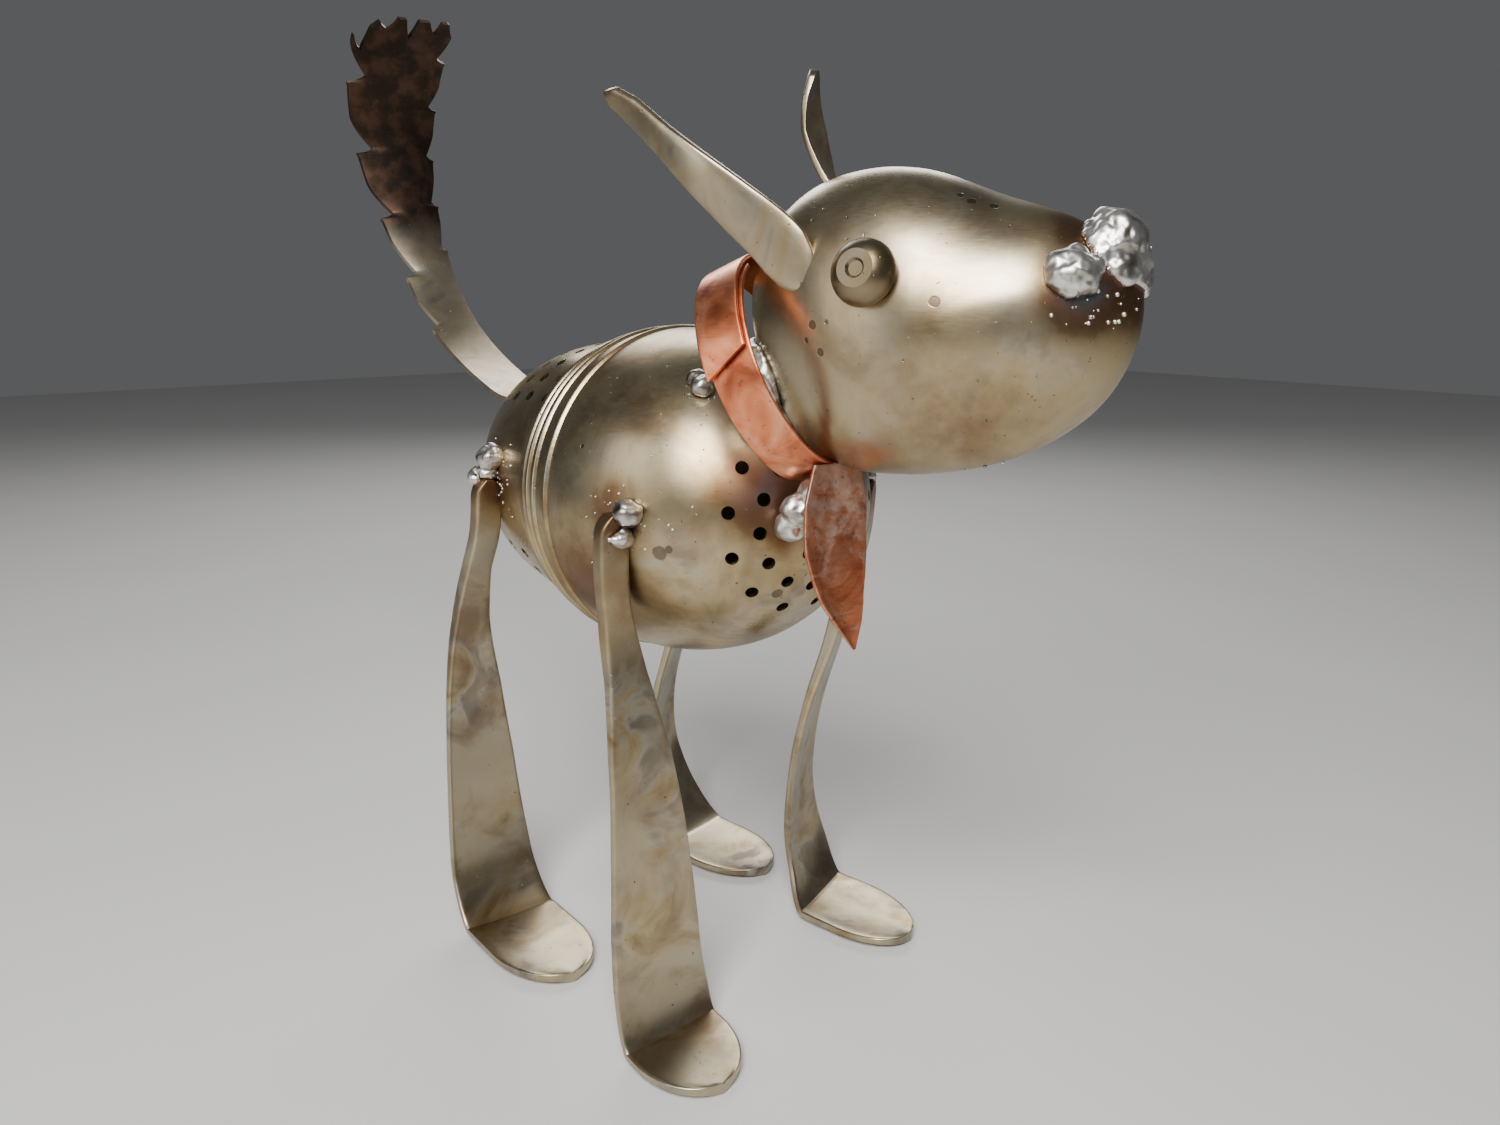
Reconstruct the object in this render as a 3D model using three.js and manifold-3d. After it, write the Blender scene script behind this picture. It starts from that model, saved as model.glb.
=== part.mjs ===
// A dog welded together from kitchen metal: a perforated ball for the body, four spoon handles
// for legs, two serving spoon bowls for the head, a toothed server blade for the tail and a
// wound copper strip for the collar, with a copper leaf under it.
// Millimetres, +Z up. The dog faces -Y, its right side is -X, and it stands on its four paws.

import * as THREE from 'three';
import { mergeVertices } from 'three/addons/utils/BufferGeometryUtils.js';
import Module from 'manifold-3d';

// Gaps
const joinGap = 0.3;             // left between two pieces that touch

// Body ball
const bodyHeight = 100;          // middle of the ball above the table
const ballRadius = 32;
const ballWall = 1;
const bandWidth = 13;            // ribbed band at the seam, part of the front cup
const bandTaper = 2;             // how much the band narrows towards the seam
const frontDepth = 41.4;         // from the band to the tip of the front cup
const rearDepth = 43.5;          // from the seam to the tip of the rear cup
const rearFullness = 2.5;        // 2 would make the rear cup half an ellipse; more makes it blunter
const seamOverlap = 6;           // how far the rear cup's rim reaches inside the band
const ribHeight = 0.55;
const ribWidth = 1.5;
const ribPlaces = [0.6, 4, 7.2, 12.2];   // middle of each rib, forward of the seam's rear edge
const holeRadius = 1.2;
const frontHoleRings = [         // rings of holes round the front tip, out to a share of the ball
  { reach: 0.53, count: 13, turn: 36 },
  { reach: 0.385, count: 13, turn: 22 },
  { reach: 0.2, count: 6, turn: 0 },
];
const rearHolePitch = 7;         // from row to row along the rear cup
const rearHoleRows = 3;
const rearHoleStep = 10;         // degrees from column to column
const rearHoleFans = [           // two fans of columns, on the back and under the belly
  { middle: 90, columns: 9 },
  { middle: -90, columns: 9 },
];

// Legs, each a spoon handle bent forward into a paw
const handleNeckWidth = 6;
const handlePawWidth = 21;
const handleNeckThickness = 3.4;
const handlePawThickness = 2;

// Tail blade
const tailLength = 103;          // height of its top over its root
const tailRootWidth = 13;
const tailTopWidth = 25;
const tailThickness = 1.2;
const toothPitch = 17;           // along the right edge; closer together along the left one
const toothDepth = 4.2;          // on the right edge; half as deep on the left one

// Head
const headLength = 64;
const headHalfWidth = 16;        // depth of each bowl
const bowlWall = 1.2;
const neckTurn = 27;             // degrees towards the dog's left
const neckLift = 24;             // degrees that the collar's axis points up
const eyeRadius = 5;
const eyeHeight = 4.6;
const eyeFlatRadius = 2.4;
const noseRadius = 7.2;
const earLength = 44;
const earRootWidth = 8.8;
const earTipWidth = 4.4;
const earThickness = 1.4;

// Collar and leaf
const collarRadius = 17.3;       // inside of the copper strip
const collarWidth = 7.8;
const collarThickness = 0.8;
const flapLift = 1.2;            // how far the outer end stands off the turn below it
const flapShift = 0.4;             // how far back it lies from the turn below it
const leafLength = 31;
const leafWidth = 12;
const leafThickness = 0.9;
const leafAhead = 8.3;           // how far the leaf hangs ahead of the collar

// Welds, each a few drops run together
const dropRadius = 2.6;
// [back, up round the ball, radius] of each drop at a hip, in drop radii
const hipDrops = [[0.2, 3.2, 1], [1.1, 1.3, 1.23], [1.1, -1.1, 1]];
// [left, back, down, radius] of each drop behind the leaf, in drop radii
const leafDrops = [[-0.6, 1.15, 1.9, 1.08], [-1, 2.1, 3.1, 1.23], [-1, 3.1, 4.4, 1.08]];
// [ahead, left, up, radius] of each drop of the nose, the places in sixty-fourths of the head
const noseDrops = [[46.5, 0, 15.2, 1], [49, -1, 18.6, 0.6], [43.5, -8, 13.4, 0.66], [50, 2, 12.4, 0.56]];

const TAU = Math.PI * 2;
const wasm = await Module();
wasm.setup();

const vec = (x, y, z) => new THREE.Vector3(x, y, z);
const radians = THREE.MathUtils.degToRad;
const lerp = THREE.MathUtils.lerp;
const smooth = THREE.MathUtils.smoothstep;

// Closed solids and cuts

// A mesh with its shared corners merged, its faces turned out if they point in.
function outward(geometry) {
  const bare = geometry.index ? geometry.toNonIndexed() : geometry.clone();
  bare.deleteAttribute('normal');
  bare.deleteAttribute('uv');
  const p = bare.attributes.position;
  const a = vec(0, 0, 0);
  const b = vec(0, 0, 0);
  const c = vec(0, 0, 0);
  let volume = 0;
  for (let i = 0; i < p.count; i += 3) {
    a.fromBufferAttribute(p, i);
    b.fromBufferAttribute(p, i + 1);
    c.fromBufferAttribute(p, i + 2);
    volume += a.dot(b.cross(c));
  }
  if (volume < 0) {
    for (let i = 0; i < p.count; i += 3) {
      b.fromBufferAttribute(p, i + 1);
      c.fromBufferAttribute(p, i + 2);
      p.setXYZ(i + 1, c.x, c.y, c.z);
      p.setXYZ(i + 2, b.x, b.y, b.z);
    }
  }
  return mergeVertices(bare, 1e-4);
}

function toSolid(geometry) {
  const closed = outward(geometry);
  return new wasm.Manifold(new wasm.Mesh({
    numProp: 3,
    vertProperties: Float32Array.from(closed.attributes.position.array),
    triVerts: Uint32Array.from(closed.index.array),
  }));
}

function toGeometry(solid) {
  const mesh = solid.getMesh();
  const geometry = new THREE.BufferGeometry();
  geometry.setAttribute('position', new THREE.BufferAttribute(mesh.vertProperties, 3));
  geometry.setIndex(new THREE.BufferAttribute(mesh.triVerts, 1));
  return geometry;
}

const cut = (solid, ...tools) => tools.reduce((rest, tool) => rest.subtract(tool), solid);
const join = (solids) => solids.reduce((all, next) => all.add(next));

// The largest single body of a solid, so that a cut leaves no crumbs.
function mainBody(solid) {
  const bodies = solid.decompose();
  return bodies.reduce((best, next) => (next.volume() > best.volume() ? next : best));
}

// A skin over a row of rings, each a list of points that go the same way round.
// The first and the last ring are closed by a fan to their middle, or are a single point.
function skin(rings) {
  const points = [];
  const faces = [];
  const add = (point) => points.push(point.x, point.y, point.z) / 3 - 1;
  const middle = (ring) => ring.reduce((sum, p) => sum.add(p), vec(0, 0, 0)).divideScalar(ring.length);
  const fan = (tip, ring, flip) => ring.forEach((_, i) => {
    const next = (i + 1) % ring.length;
    faces.push(tip, ring[flip ? next : i], ring[flip ? i : next]);
  });
  const firstTip = add(middle(rings[0]));
  const full = rings.filter((ring) => ring.length > 1).map((ring) => ring.map(add));
  const lastTip = add(middle(rings.at(-1)));
  fan(firstTip, full[0], true);
  for (let k = 0; k + 1 < full.length; k += 1) {
    full[k].forEach((_, i) => {
      const next = (i + 1) % full[k].length;
      faces.push(full[k][i], full[k][next], full[k + 1][next]);
      faces.push(full[k][i], full[k + 1][next], full[k + 1][i]);
    });
  }
  fan(lastTip, full.at(-1), false);
  const geometry = new THREE.BufferGeometry();
  geometry.setAttribute('position', new THREE.Float32BufferAttribute(points, 3));
  geometry.setIndex(faces);
  return outward(geometry);
}

// A flat strip of metal that follows a route. At each share t of its length it has a width, a
// thickness and a direction across it; its edges are chamfered and its broad faces are flat.
// It lies level where its middle would dip below the floor height.
function strip({ route, width, thickness, across, steps, grow = 0, floor = -Infinity }) {
  const curve = new THREE.CatmullRomCurve3(route, false, 'centripetal');
  const rings = [];
  for (let k = 0; k <= steps; k += 1) {
    const t = k / steps;
    const centre = curve.getPointAt(t);
    const along = curve.getTangentAt(t);
    if (centre.z < floor + joinGap / 10) {
      centre.z = floor;
      along.setZ(0).normalize();
    }
    const side = across(t).clone().normalize();
    const face = vec(0, 0, 0).crossVectors(along, side).normalize();
    const w = width(t) / 2 + grow;
    const h = thickness(t) / 2 + grow;
    const c = Math.min(h * 0.8, w * 0.5);
    const section = [[-w + c, -h], [w - c, -h], [w, 0], [w - c, h], [-w + c, h], [-w, 0]];
    rings.push(section.map(([u, v]) => centre.clone().addScaledVector(side, u).addScaledVector(face, v)));
  }
  if (grow > 0) {
    const start = curve.getTangentAt(0).multiplyScalar(-grow);
    const end = curve.getTangentAt(1).multiplyScalar(grow);
    rings[0].forEach((p) => p.add(start));
    rings.at(-1).forEach((p) => p.add(end));
  }
  return skin(rings);
}

// A value that runs smoothly through a list of [share, value] pairs.
function through(pairs) {
  return (t) => {
    const last = pairs.findIndex(([share]) => share >= t);
    if (last <= 0) return pairs[last === 0 ? 0 : pairs.length - 1][1];
    const [from, low] = pairs[last - 1];
    const [to, high] = pairs[last];
    return lerp(low, high, (t - from) / (to - from));
  };
}

// A direction that turns through a list of [share, direction] pairs.
function turning(pairs) {
  const part = (axis) => through(pairs.map(([share, way]) => [share, way[axis]]));
  const [x, y, z] = ['x', 'y', 'z'].map(part);
  return (t) => vec(x(t), y(t), z(t));
}

// A lump of weld: a few overlapping drops, each [x, y, z, radius], uneven all over.
function drops(list) {
  return join(list.map(([x, y, z, radius], index) => {
    const ball = new THREE.SphereGeometry(radius, 7, 4);
    const p = ball.attributes.position;
    const point = vec(0, 0, 0);
    for (let i = 0; i < p.count; i += 1) {
      point.fromBufferAttribute(p, i);
      const wave = Math.sin(point.x * 2.1 + index) + Math.sin(point.z * 1.7 + index * 2);
      point.multiplyScalar(1 + 0.06 * wave);
      p.setXYZ(i, point.x, point.y, point.z);
    }
    ball.translate(x, y, z);
    return toSolid(ball);
  }));
}

// Body ball: two cups of a perforated ball, spun about Y

const seamRadius = ballRadius - bandTaper;
const rearRadius = seamRadius - ballWall - joinGap;
const frontTip = -(bandWidth + frontDepth);

// Outer radius of the ball at a place along its axis, forward being negative.
function ballRadiusAt(y) {
  if (y < -bandWidth) return ballRadius * Math.sqrt(Math.max(0, 1 - ((y + bandWidth) / frontDepth) ** 2));
  if (y < 0) return ballRadius - bandTaper * (1 + y / bandWidth) ** 2;
  return rearRadius * Math.max(0, 1 - (y / rearDepth) ** rearFullness) ** (1 / rearFullness);
}

// Direction straight out of the ball at a place on it, given as an angle up from the dog's right.
function ballNormal(y, angle) {
  const step = 0.01;
  const slope = (ballRadiusAt(y - step) - ballRadiusAt(y + step)) / (2 * step);
  return vec(-Math.cos(angle), slope, Math.sin(angle)).normalize();
}

// Half of a cup's wall, from its tip to its rim, at a distance inside the outer face. A fullness of
// 2 makes it a quarter ellipse.
function cupArc(girth, depth, fullness, inset, steps) {
  const arc = [];
  const power = 2 / fullness;
  for (let i = 0; i <= steps; i += 1) {
    const angle = (i / steps) * (Math.PI / 2);
    arc.push([(girth - inset) * Math.sin(angle) ** power, (depth - inset) * Math.cos(angle) ** power]);
  }
  return arc;
}

const cupSteps = 6;
const cupSegments = 24;
const holeSides = 5;

function spin(profile) {
  const points = profile.map(([radius, y]) => new THREE.Vector2(radius, y));
  return toSolid(new THREE.LatheGeometry(points, cupSegments));
}

// The band from front to rear, with a rounded rib raised at each place.
function bandProfile() {
  const points = [];
  [...ribPlaces].reverse().forEach((place) => {
    const foot = ribWidth / 2;
    points.push([ballRadiusAt(-place - foot), -place - foot]);
    points.push([ballRadiusAt(-place) + ribHeight, -place]);
    points.push([ballRadiusAt(Math.min(foot - place, -0.01)), foot - place]);
  });
  return points;
}

function frontCupSolid() {
  const flip = ([radius, depth]) => [radius, -bandWidth - depth];
  const outer = cupArc(ballRadius, frontDepth, 2, 0, cupSteps).map(flip);
  const inner = cupArc(ballRadius, frontDepth, 2, ballWall, cupSteps).map(flip).reverse();
  const rim = ribWidth;
  const wallRadius = seamRadius - ballWall;
  const band = bandProfile().filter(([, y]) => y > -bandWidth);
  return spin([...outer, ...band, [seamRadius, rim], [wallRadius, rim], [wallRadius, -seamOverlap * 1.1], ...inner]);
}

function rearCupSolid() {
  const outer = cupArc(rearRadius, rearDepth, rearFullness, 0, cupSteps);
  const inner = cupArc(rearRadius, rearDepth, rearFullness, ballWall, cupSteps).reverse();
  return spin([...outer, [rearRadius, -seamOverlap], [rearRadius - ballWall, -seamOverlap], ...inner]);
}

// The ball with nothing inside, grown by a gap: what everything welded to the ball is cut by.
function ballBlock(gap) {
  const grown = (y) => ballRadiusAt(y) + gap;
  const profile = [[0, frontTip - gap]];
  const steps = 26;
  for (let i = 1; i < steps; i += 1) {
    const share = (1 - Math.cos((i / steps) * Math.PI)) / 2;
    const y = lerp(frontTip, rearDepth, share);
    profile.push([grown(y), y + (y < -bandWidth ? -1 : 1) * gap * Math.abs(ballNormal(y, 0).y)]);
  }
  profile.push([0, rearDepth + gap]);
  return spin(profile);
}

// A drill for one hole, square to the ball's wall.
function drill(y, angle) {
  const radius = ballRadiusAt(y);
  const drillBit = new THREE.CylinderGeometry(holeRadius, holeRadius, ballWall * 5, holeSides);
  const turn = new THREE.Quaternion().setFromUnitVectors(vec(0, 1, 0), ballNormal(y, angle));
  drillBit.applyQuaternion(turn);
  drillBit.translate(-Math.cos(angle) * radius, y, Math.sin(angle) * radius);
  return toSolid(drillBit);
}

function frontHoles() {
  const tools = [drill(frontTip + 0.001, 0)];
  frontHoleRings.forEach(({ reach, count, turn }) => {
    const y = -bandWidth - frontDepth * Math.sqrt(1 - reach ** 2);
    for (let i = 0; i < count; i += 1) tools.push(drill(y, radians(turn) + (i / count) * TAU));
  });
  return tools;
}

function rearHoles() {
  const tools = [];
  rearHoleFans.forEach(({ middle, columns }) => {
    for (let row = 0; row < rearHoleRows; row += 1) {
      const y = ribWidth + holeRadius * 2 + row * rearHolePitch;
      for (let i = 0; i < columns; i += 1) {
        tools.push(drill(y, radians(middle + (i - (columns - 1) / 2) * rearHoleStep)));
      }
    }
  });
  return tools;
}

// Legs

// Shapes of the four legs. Each point is [away from the hip's side, back, up], in hundredths of
// the ball's height over the table. hip is the place along the ball; shin and paw are the
// directions across the strip there; sole runs from the heel's [side, back] to the toe's; weld is
// where its weld starts, [back, up, out] from the hip in drop radii.
const legShapes = {
  leg_front_right: {
    hip: -32.5, side: -1, weld: [-0.9, -2.3, 0.5], shin: vec(1, 0.02, 0), paw: vec(1, 0.05, 0),
    shape: [[1.8, -30.2, 80], [2.8, -32, 68], [3.6, -34.4, 52], [4, -35.6, 36], [4.2, -36.2, 22], [4.3, -37.2, 11]],
    sole: [-26.2, -41.5, -27.2, -59.5],
  },
  leg_rear_right: {
    hip: 16, side: -1, weld: [-0.5, -0.7, 0.7], shin: vec(1, 0.05, 0), paw: vec(1, -0.03, 0),
    shape: [[-0.1, 23.5, 80], [-0.1, 28, 66], [-0.1, 28.2, 50], [-0.2, 27, 35], [-0.4, 25, 19], [-0.6, 22, 9]],
    sole: [-30.2, 15.5, -30.6, -13.4],
  },
  leg_front_left: {
    hip: -35.4, side: 1, weld: [0, -0.4, 0.5], shin: vec(0.84, 0.54, 0), paw: vec(0.93, 0.37, 0),
    shape: [[-0.2, -30.4, 80], [-0.6, -25.6, 66], [-1.2, -18.6, 50], [-2, -13.6, 35], [-2.8, -11.8, 19], [-3.4, -14, 9]],
    sole: [30.6, -21, 34.6, -46.6],
  },
  leg_rear_left: {
    hip: 14, side: 1, weld: [0, -0.4, 0.5], shin: vec(0.8, 0.6, 0), paw: vec(0.985, 0.17, 0),
    shape: [[-0.5, 22, 80], [-1, 30, 64], [-0.4, 36.5, 48], [0.8, 40.5, 34], [3, 38.5, 19], [4.6, 31, 8]],
    sole: [25.6, 22, 28.6, -4.4],
  },
};

function legSolid(name, grow = 0) {
  const { hip, side, shin, paw, shape, sole } = legShapes[name];
  const unit = bodyHeight / 100;
  const outside = ballRadiusAt(hip) + joinGap + handleNeckThickness / 2;
  const hipX = side * outside;
  const floor = handlePawThickness / 2;
  const top = vec(hipX, hip, bodyHeight * 1.015);
  const bends = shape.map(([out, back, up]) => vec(hipX - side * out * unit, back * unit, up * unit));
  const [heelX, heelY, toeX, toeY] = sole.map((value) => value * unit);
  const ground = [0, 0.34, 0.67, 1].map((t) => vec(lerp(heelX, toeX, t), lerp(heelY, toeY, t), floor));
  const tipShare = 0.12;
  const wide = through([[0, handleNeckWidth], [0.16, handleNeckWidth], [0.26, handleNeckWidth * 1.4],
    [0.38, handlePawWidth * 0.62], [0.5, handlePawWidth * 0.77], [0.66, handlePawWidth * 0.92],
    [0.8, handlePawWidth], [1, handlePawWidth]]);
  const rounded = (t) => Math.sqrt(Math.max(0.03, 1 - Math.max(0, (t - 1 + tipShare) / tipShare) ** 2));
  const crown = (t) => Math.sqrt(Math.max(0.25, 1 - Math.max(0, 1 - t / 0.03) ** 2));
  const thin = through([[0, handleNeckThickness], [0.2, handleNeckThickness], [0.45, handlePawThickness],
    [1, handlePawThickness]]);
  return toSolid(strip({
    route: [top, vec(hipX, lerp(hip, bends[0].y, 0.3), bodyHeight * 0.9), ...bends, ...ground],
    width: (t) => wide(t) * rounded(t) * crown(t),
    thickness: thin,
    across: (t) => shin.clone().lerp(paw, smooth(t, 0.55, 0.85)),
    steps: 25,
    grow,
    floor,
  }));
}

// Tail blade

// Middle line of the tail: [side, back of the root, up], in hundredths of its height.
const tailShape = [[0, 0, 0], [0, 11, -1.5], [0, 22.3, 1.2], [-1, 35.7, 7.5], [-2, 44.6, 14], [-3, 53.1, 24],
  [-4, 59.6, 36], [-5, 64.6, 49], [-5.6, 66.1, 62], [-5.8, 62.1, 75], [-6, 52.1, 86.5]];

function tailSolid() {
  const unit = tailLength / 100;
  const rootUp = 15;
  const rootShare = 1 - (rootUp / rearRadius) ** rearFullness;
  const rootY = rearDepth * rootShare ** (1 / rearFullness) + joinGap * 2;
  const root = vec(0, rootY, bodyHeight + rootUp);
  const route = tailShape.map(([side, back, up]) => vec(side, back, up).multiplyScalar(unit).add(root));
  const curve = new THREE.CatmullRomCurve3(route, false, 'centripetal');
  const length = curve.getLength();
  const width = (t) => lerp(tailRootWidth, tailTopWidth, smooth(t, 0.45, 0.95));
  const across = vec(1, 0, 0);
  const blade = toSolid(strip({
    route, width, thickness: () => tailThickness, across: () => across, steps: 22,
  }));
  const notches = [];
  const notch = (t, side, wide, deep) => {
    const along = curve.getTangentAt(t);
    const face = vec(0, 0, 0).crossVectors(along, across).normalize();
    const out = side === 0 ? along.clone() : across.clone().multiplyScalar(side);
    const start = curve.getPointAt(t).addScaledVector(across, side * (width(t) / 2));
    if (side === 0) start.addScaledVector(across, wide);
    const lengthwise = side === 0 ? across : along;
    const shape = new THREE.Shape();
    shape.moveTo(0, 1);
    shape.lineTo(0, -deep);
    shape.lineTo(side === 0 ? toothDepth * 0.7 : toothPitch * 0.12, -deep);
    shape.lineTo(side === 0 ? toothDepth : toothPitch * 0.6, 1);
    const tool = new THREE.ExtrudeGeometry(shape, { depth: tailThickness * 6, bevelEnabled: false });
    tool.translate(0, 0, -tailThickness * 3);
    const place = new THREE.Matrix4().makeBasis(lengthwise, out, face).setPosition(start);
    tool.applyMatrix4(place);
    notches.push(toSolid(tool));
  };
  const teeth = Math.floor((length * 0.68) / toothPitch);
  for (let i = 0; i < teeth; i += 1) {
    const right = 1 - (i + 1.1) * (toothPitch / length);
    const left = 1 - (i + 0.9) * ((toothPitch * 0.74) / length);
    const fade = 1 - 0.5 * (i / teeth);
    notch(right, -1, 0, toothDepth * fade);
    notch(left, 1, 0, toothDepth * 0.5 * fade);
  }
  [-0.46, -0.24, 0.02, 0.27].forEach((share) => notch(1, 0, share * tailTopWidth - toothDepth / 2, toothDepth));
  return mainBody(cut(blade, ...notches));
}

// Head, in a frame of its own: X forward, Y to the dog's left, Z up, from the collar's front

const collarPlace = vec(-0.22 * ballRadius, -(bandWidth + 1.03 * frontDepth), bodyHeight + 0.875 * ballRadius);
const lift = radians(neckLift);
const neckAxis = vec(Math.cos(lift), 0, Math.sin(lift));
const neckUp = vec(-Math.sin(lift), 0, Math.cos(lift));
const headMiddle = [22.5, 6];
// Rim of the two bowls, seen from the side, in sixty-fourths of the head's length.
const headRim = [[-8.6, 8], [-6, 19.5], [1, 26.6], [10, 29.6], [20, 29.4], [32, 25.4], [44, 21.2], [51.5, 15.5],
  [53, 6], [48.5, -4.8], [37, -13.4], [19, -17.6], [4, -15.6], [-4.6, -4.6]];
const headUnit = headLength / 64;
const rimCurve = new THREE.CatmullRomCurve3(headRim.map(([x, z]) => vec(x, 0, z)), true, 'centripetal');

// A point on a bowl's outside: share 0 at the middle of the bowl and 1 on the rim.
function bowlPoint(rimPoint, share, side, inset) {
  const dome = Math.max(0, 1 - share ** 2) ** 0.6;
  const middle = vec(headMiddle[0], 0, headMiddle[1]);
  const flat = rimPoint.clone().sub(middle);
  const reach = 1 - inset / (flat.length() * headUnit);
  flat.multiplyScalar(share * reach).add(middle).multiplyScalar(headUnit);
  const rimGap = joinGap / 2;
  flat.y = side * (rimGap + dome * (headHalfWidth - rimGap - inset));
  return flat;
}

const bowlAround = 26;
const bowlShares = [0.3, 0.55, 0.75, 0.89, 0.97, 1];

function bowlRing(share, side, inset) {
  return rimCurve.getSpacedPoints(bowlAround).slice(0, -1).map((p) => bowlPoint(p, share, side, inset));
}

function bowlSolid(side) {
  const outer = bowlShares.map((share) => bowlRing(share, side, 0));
  const inner = [...bowlShares].reverse().map((share) => bowlRing(share, side, bowlWall));
  const pole = (inset) => [bowlPoint(vec(headMiddle[0], 0, headMiddle[1] + 0.001), 0, side, 0)
    .add(vec(0, -side * inset, 0))];
  return toSolid(skin([pole(0), ...outer, ...inner, pole(bowlWall)]));
}

// The head with nothing inside, grown by a gap.
function headBlock(gap) {
  const half = (side) => bowlShares.map((share) => bowlRing(share, side, -gap));
  const right = half(-1);
  const left = half(1).reverse();
  const pole = (side) => [vec(headMiddle[0] * headUnit, side * (headHalfWidth + gap), headMiddle[1] * headUnit)];
  return toSolid(skin([pole(-1), ...right, ...left, pole(1)]));
}

// Outside of a bowl over a place on the side of the head, and the way straight out of it there.
function onBowl(x, z, side) {
  const flat = vec(x, 0, z).divideScalar(headUnit);
  const middle = vec(headMiddle[0], 0, headMiddle[1]);
  const way = flat.clone().sub(middle);
  const rimPoint = rimCurve.getSpacedPoints(90).reduce((best, p) => (
    p.clone().sub(middle).angleTo(way) < best.clone().sub(middle).angleTo(way) ? p : best));
  const share = way.length() / rimPoint.clone().sub(middle).length();
  return bowlPoint(rimPoint, share, side, 0);
}

function bowlNormal(x, z, side) {
  const step = 1;
  const ahead = onBowl(x + step, z, side).sub(onBowl(x - step, z, side));
  const above = onBowl(x, z + step, side).sub(onBowl(x, z - step, side));
  return ahead.cross(above).multiplyScalar(-side).normalize();
}

// Eye: a round-headed rivet with a flat filed on it, spun about Y
function eyeGeometry() {
  const profile = [new THREE.Vector2(0, 0), new THREE.Vector2(eyeRadius * 0.9, 0), new THREE.Vector2(eyeRadius, 0.9)];
  const steps = 5;
  const flatAngle = Math.acos(eyeFlatRadius / eyeRadius);
  for (let i = 1; i <= steps; i += 1) {
    const angle = (i / steps) * flatAngle;
    const rise = Math.sin(angle) / Math.sin(flatAngle);
    profile.push(new THREE.Vector2(eyeRadius * Math.cos(angle), 0.9 + (eyeHeight - 0.9) * rise));
  }
  profile.push(new THREE.Vector2(0, eyeHeight));
  return outward(new THREE.LatheGeometry(profile, 12));
}

// Ear: a spoon handle, wide and lobed at its root on the bowl, narrow at its tip.
// Each point is [forward, outward, up] of the root, in hundredths of the ear's length.
const earShapes = {
  right: [[6, 0, -10], [-5, 2, 4], [-20, 5, 17], [-35, 6, 29], [-50, 3, 40.5], [-63, -1, 50], [-74, -3, 57]],
  left: [[4, 0, -7], [0, 5, 8], [-7, 11, 21], [-14, 15, 34], [-19, 17, 47], [-21, 18, 60], [-20, 19, 71.5]],
};
const earAcross = {
  right: turning([[0.2, vec(0.72, 0, 0.69)], [0.9, vec(0.55, -0.62, 0.56)]]),
  left: turning([[0.1, vec(0.72, 0, 0.69)], [0.4, vec(-0.3, 0.95, 0)], [0.72, vec(0.42, 0.9, 0)], [1, vec(-0.2, 0.95, 0)]]),
};
const earRoot = [3, 16.5];

function earSolid(side, grow = 0) {
  const unit = earLength / 100;
  const base = onBowl(earRoot[0] * headUnit, earRoot[1] * headUnit, side);
  const out = bowlNormal(earRoot[0] * headUnit, earRoot[1] * headUnit, side);
  base.addScaledVector(out, joinGap + earThickness / 2);
  const shape = side < 0 ? earShapes.right : earShapes.left;
  const route = shape.map(([ahead, aside, up]) => vec(ahead, side * aside, up).multiplyScalar(unit).add(base));
  const width = through([[0, earRootWidth * 0.5], [0.06, earRootWidth * 0.8], [0.13, earRootWidth],
    [0.3, earRootWidth * 0.92], [0.5, earRootWidth * 0.78], [0.7, earRootWidth * 0.62],
    [0.88, earTipWidth * 1.2], [1, earTipWidth]]);
  return toSolid(strip({
    route,
    width,
    thickness: () => earThickness,
    across: side < 0 ? earAcross.right : earAcross.left,
    steps: 12,
    grow,
  }));
}

// Collar: one copper strip wound once and a quarter, with its outer end standing off
function collarSolid(grow = 0) {
  const start = 20;
  const end = 442;
  const steps = 40;
  const middle = collarRadius + collarThickness / 2;
  const step = collarThickness + joinGap;
  const rings = [];
  for (let k = 0; k <= steps; k += 1) {
    const degrees = lerp(start, end, k / steps);
    const overlap = smooth(degrees, 318, 372);
    const radius = middle + step * overlap + (flapLift - step) * smooth(degrees, 375, end);
    const back = -(flapShift * overlap + collarWidth / 2);
    const angle = radians(degrees);
    const out = neckUp.clone().multiplyScalar(Math.cos(angle)).add(vec(0, -Math.sin(angle), 0));
    const w = collarWidth / 2 + grow;
    const h = collarThickness / 2 + grow;
    const slant = k === steps ? 1.6 : 0;
    const around = neckUp.clone().multiplyScalar(-Math.sin(angle)).add(vec(0, -Math.cos(angle), 0));
    rings.push([[-w, -h], [w, -h], [w, h], [-w, h]].map(([u, v]) => neckAxis.clone().multiplyScalar(back + u)
      .addScaledVector(out, radius + v)
      .addScaledVector(around, slant * Math.sign(-u))));
  }
  return toSolid(skin(rings));
}

// Copper leaf under the collar: [side, back, down], in hundredths of its length, from its top
const leafShape = [[0, 0, 0], [-3.5, -3.5, 21], [-5.3, -6, 41], [-5, -8.5, 56], [-3.4, -10, 70], [0.6, -11.4, 84],
  [5, -12, 100]];
const leafTop = vec(collarPlace.x, collarPlace.y - leafAhead, collarPlace.z - collarRadius * 0.93);

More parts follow.
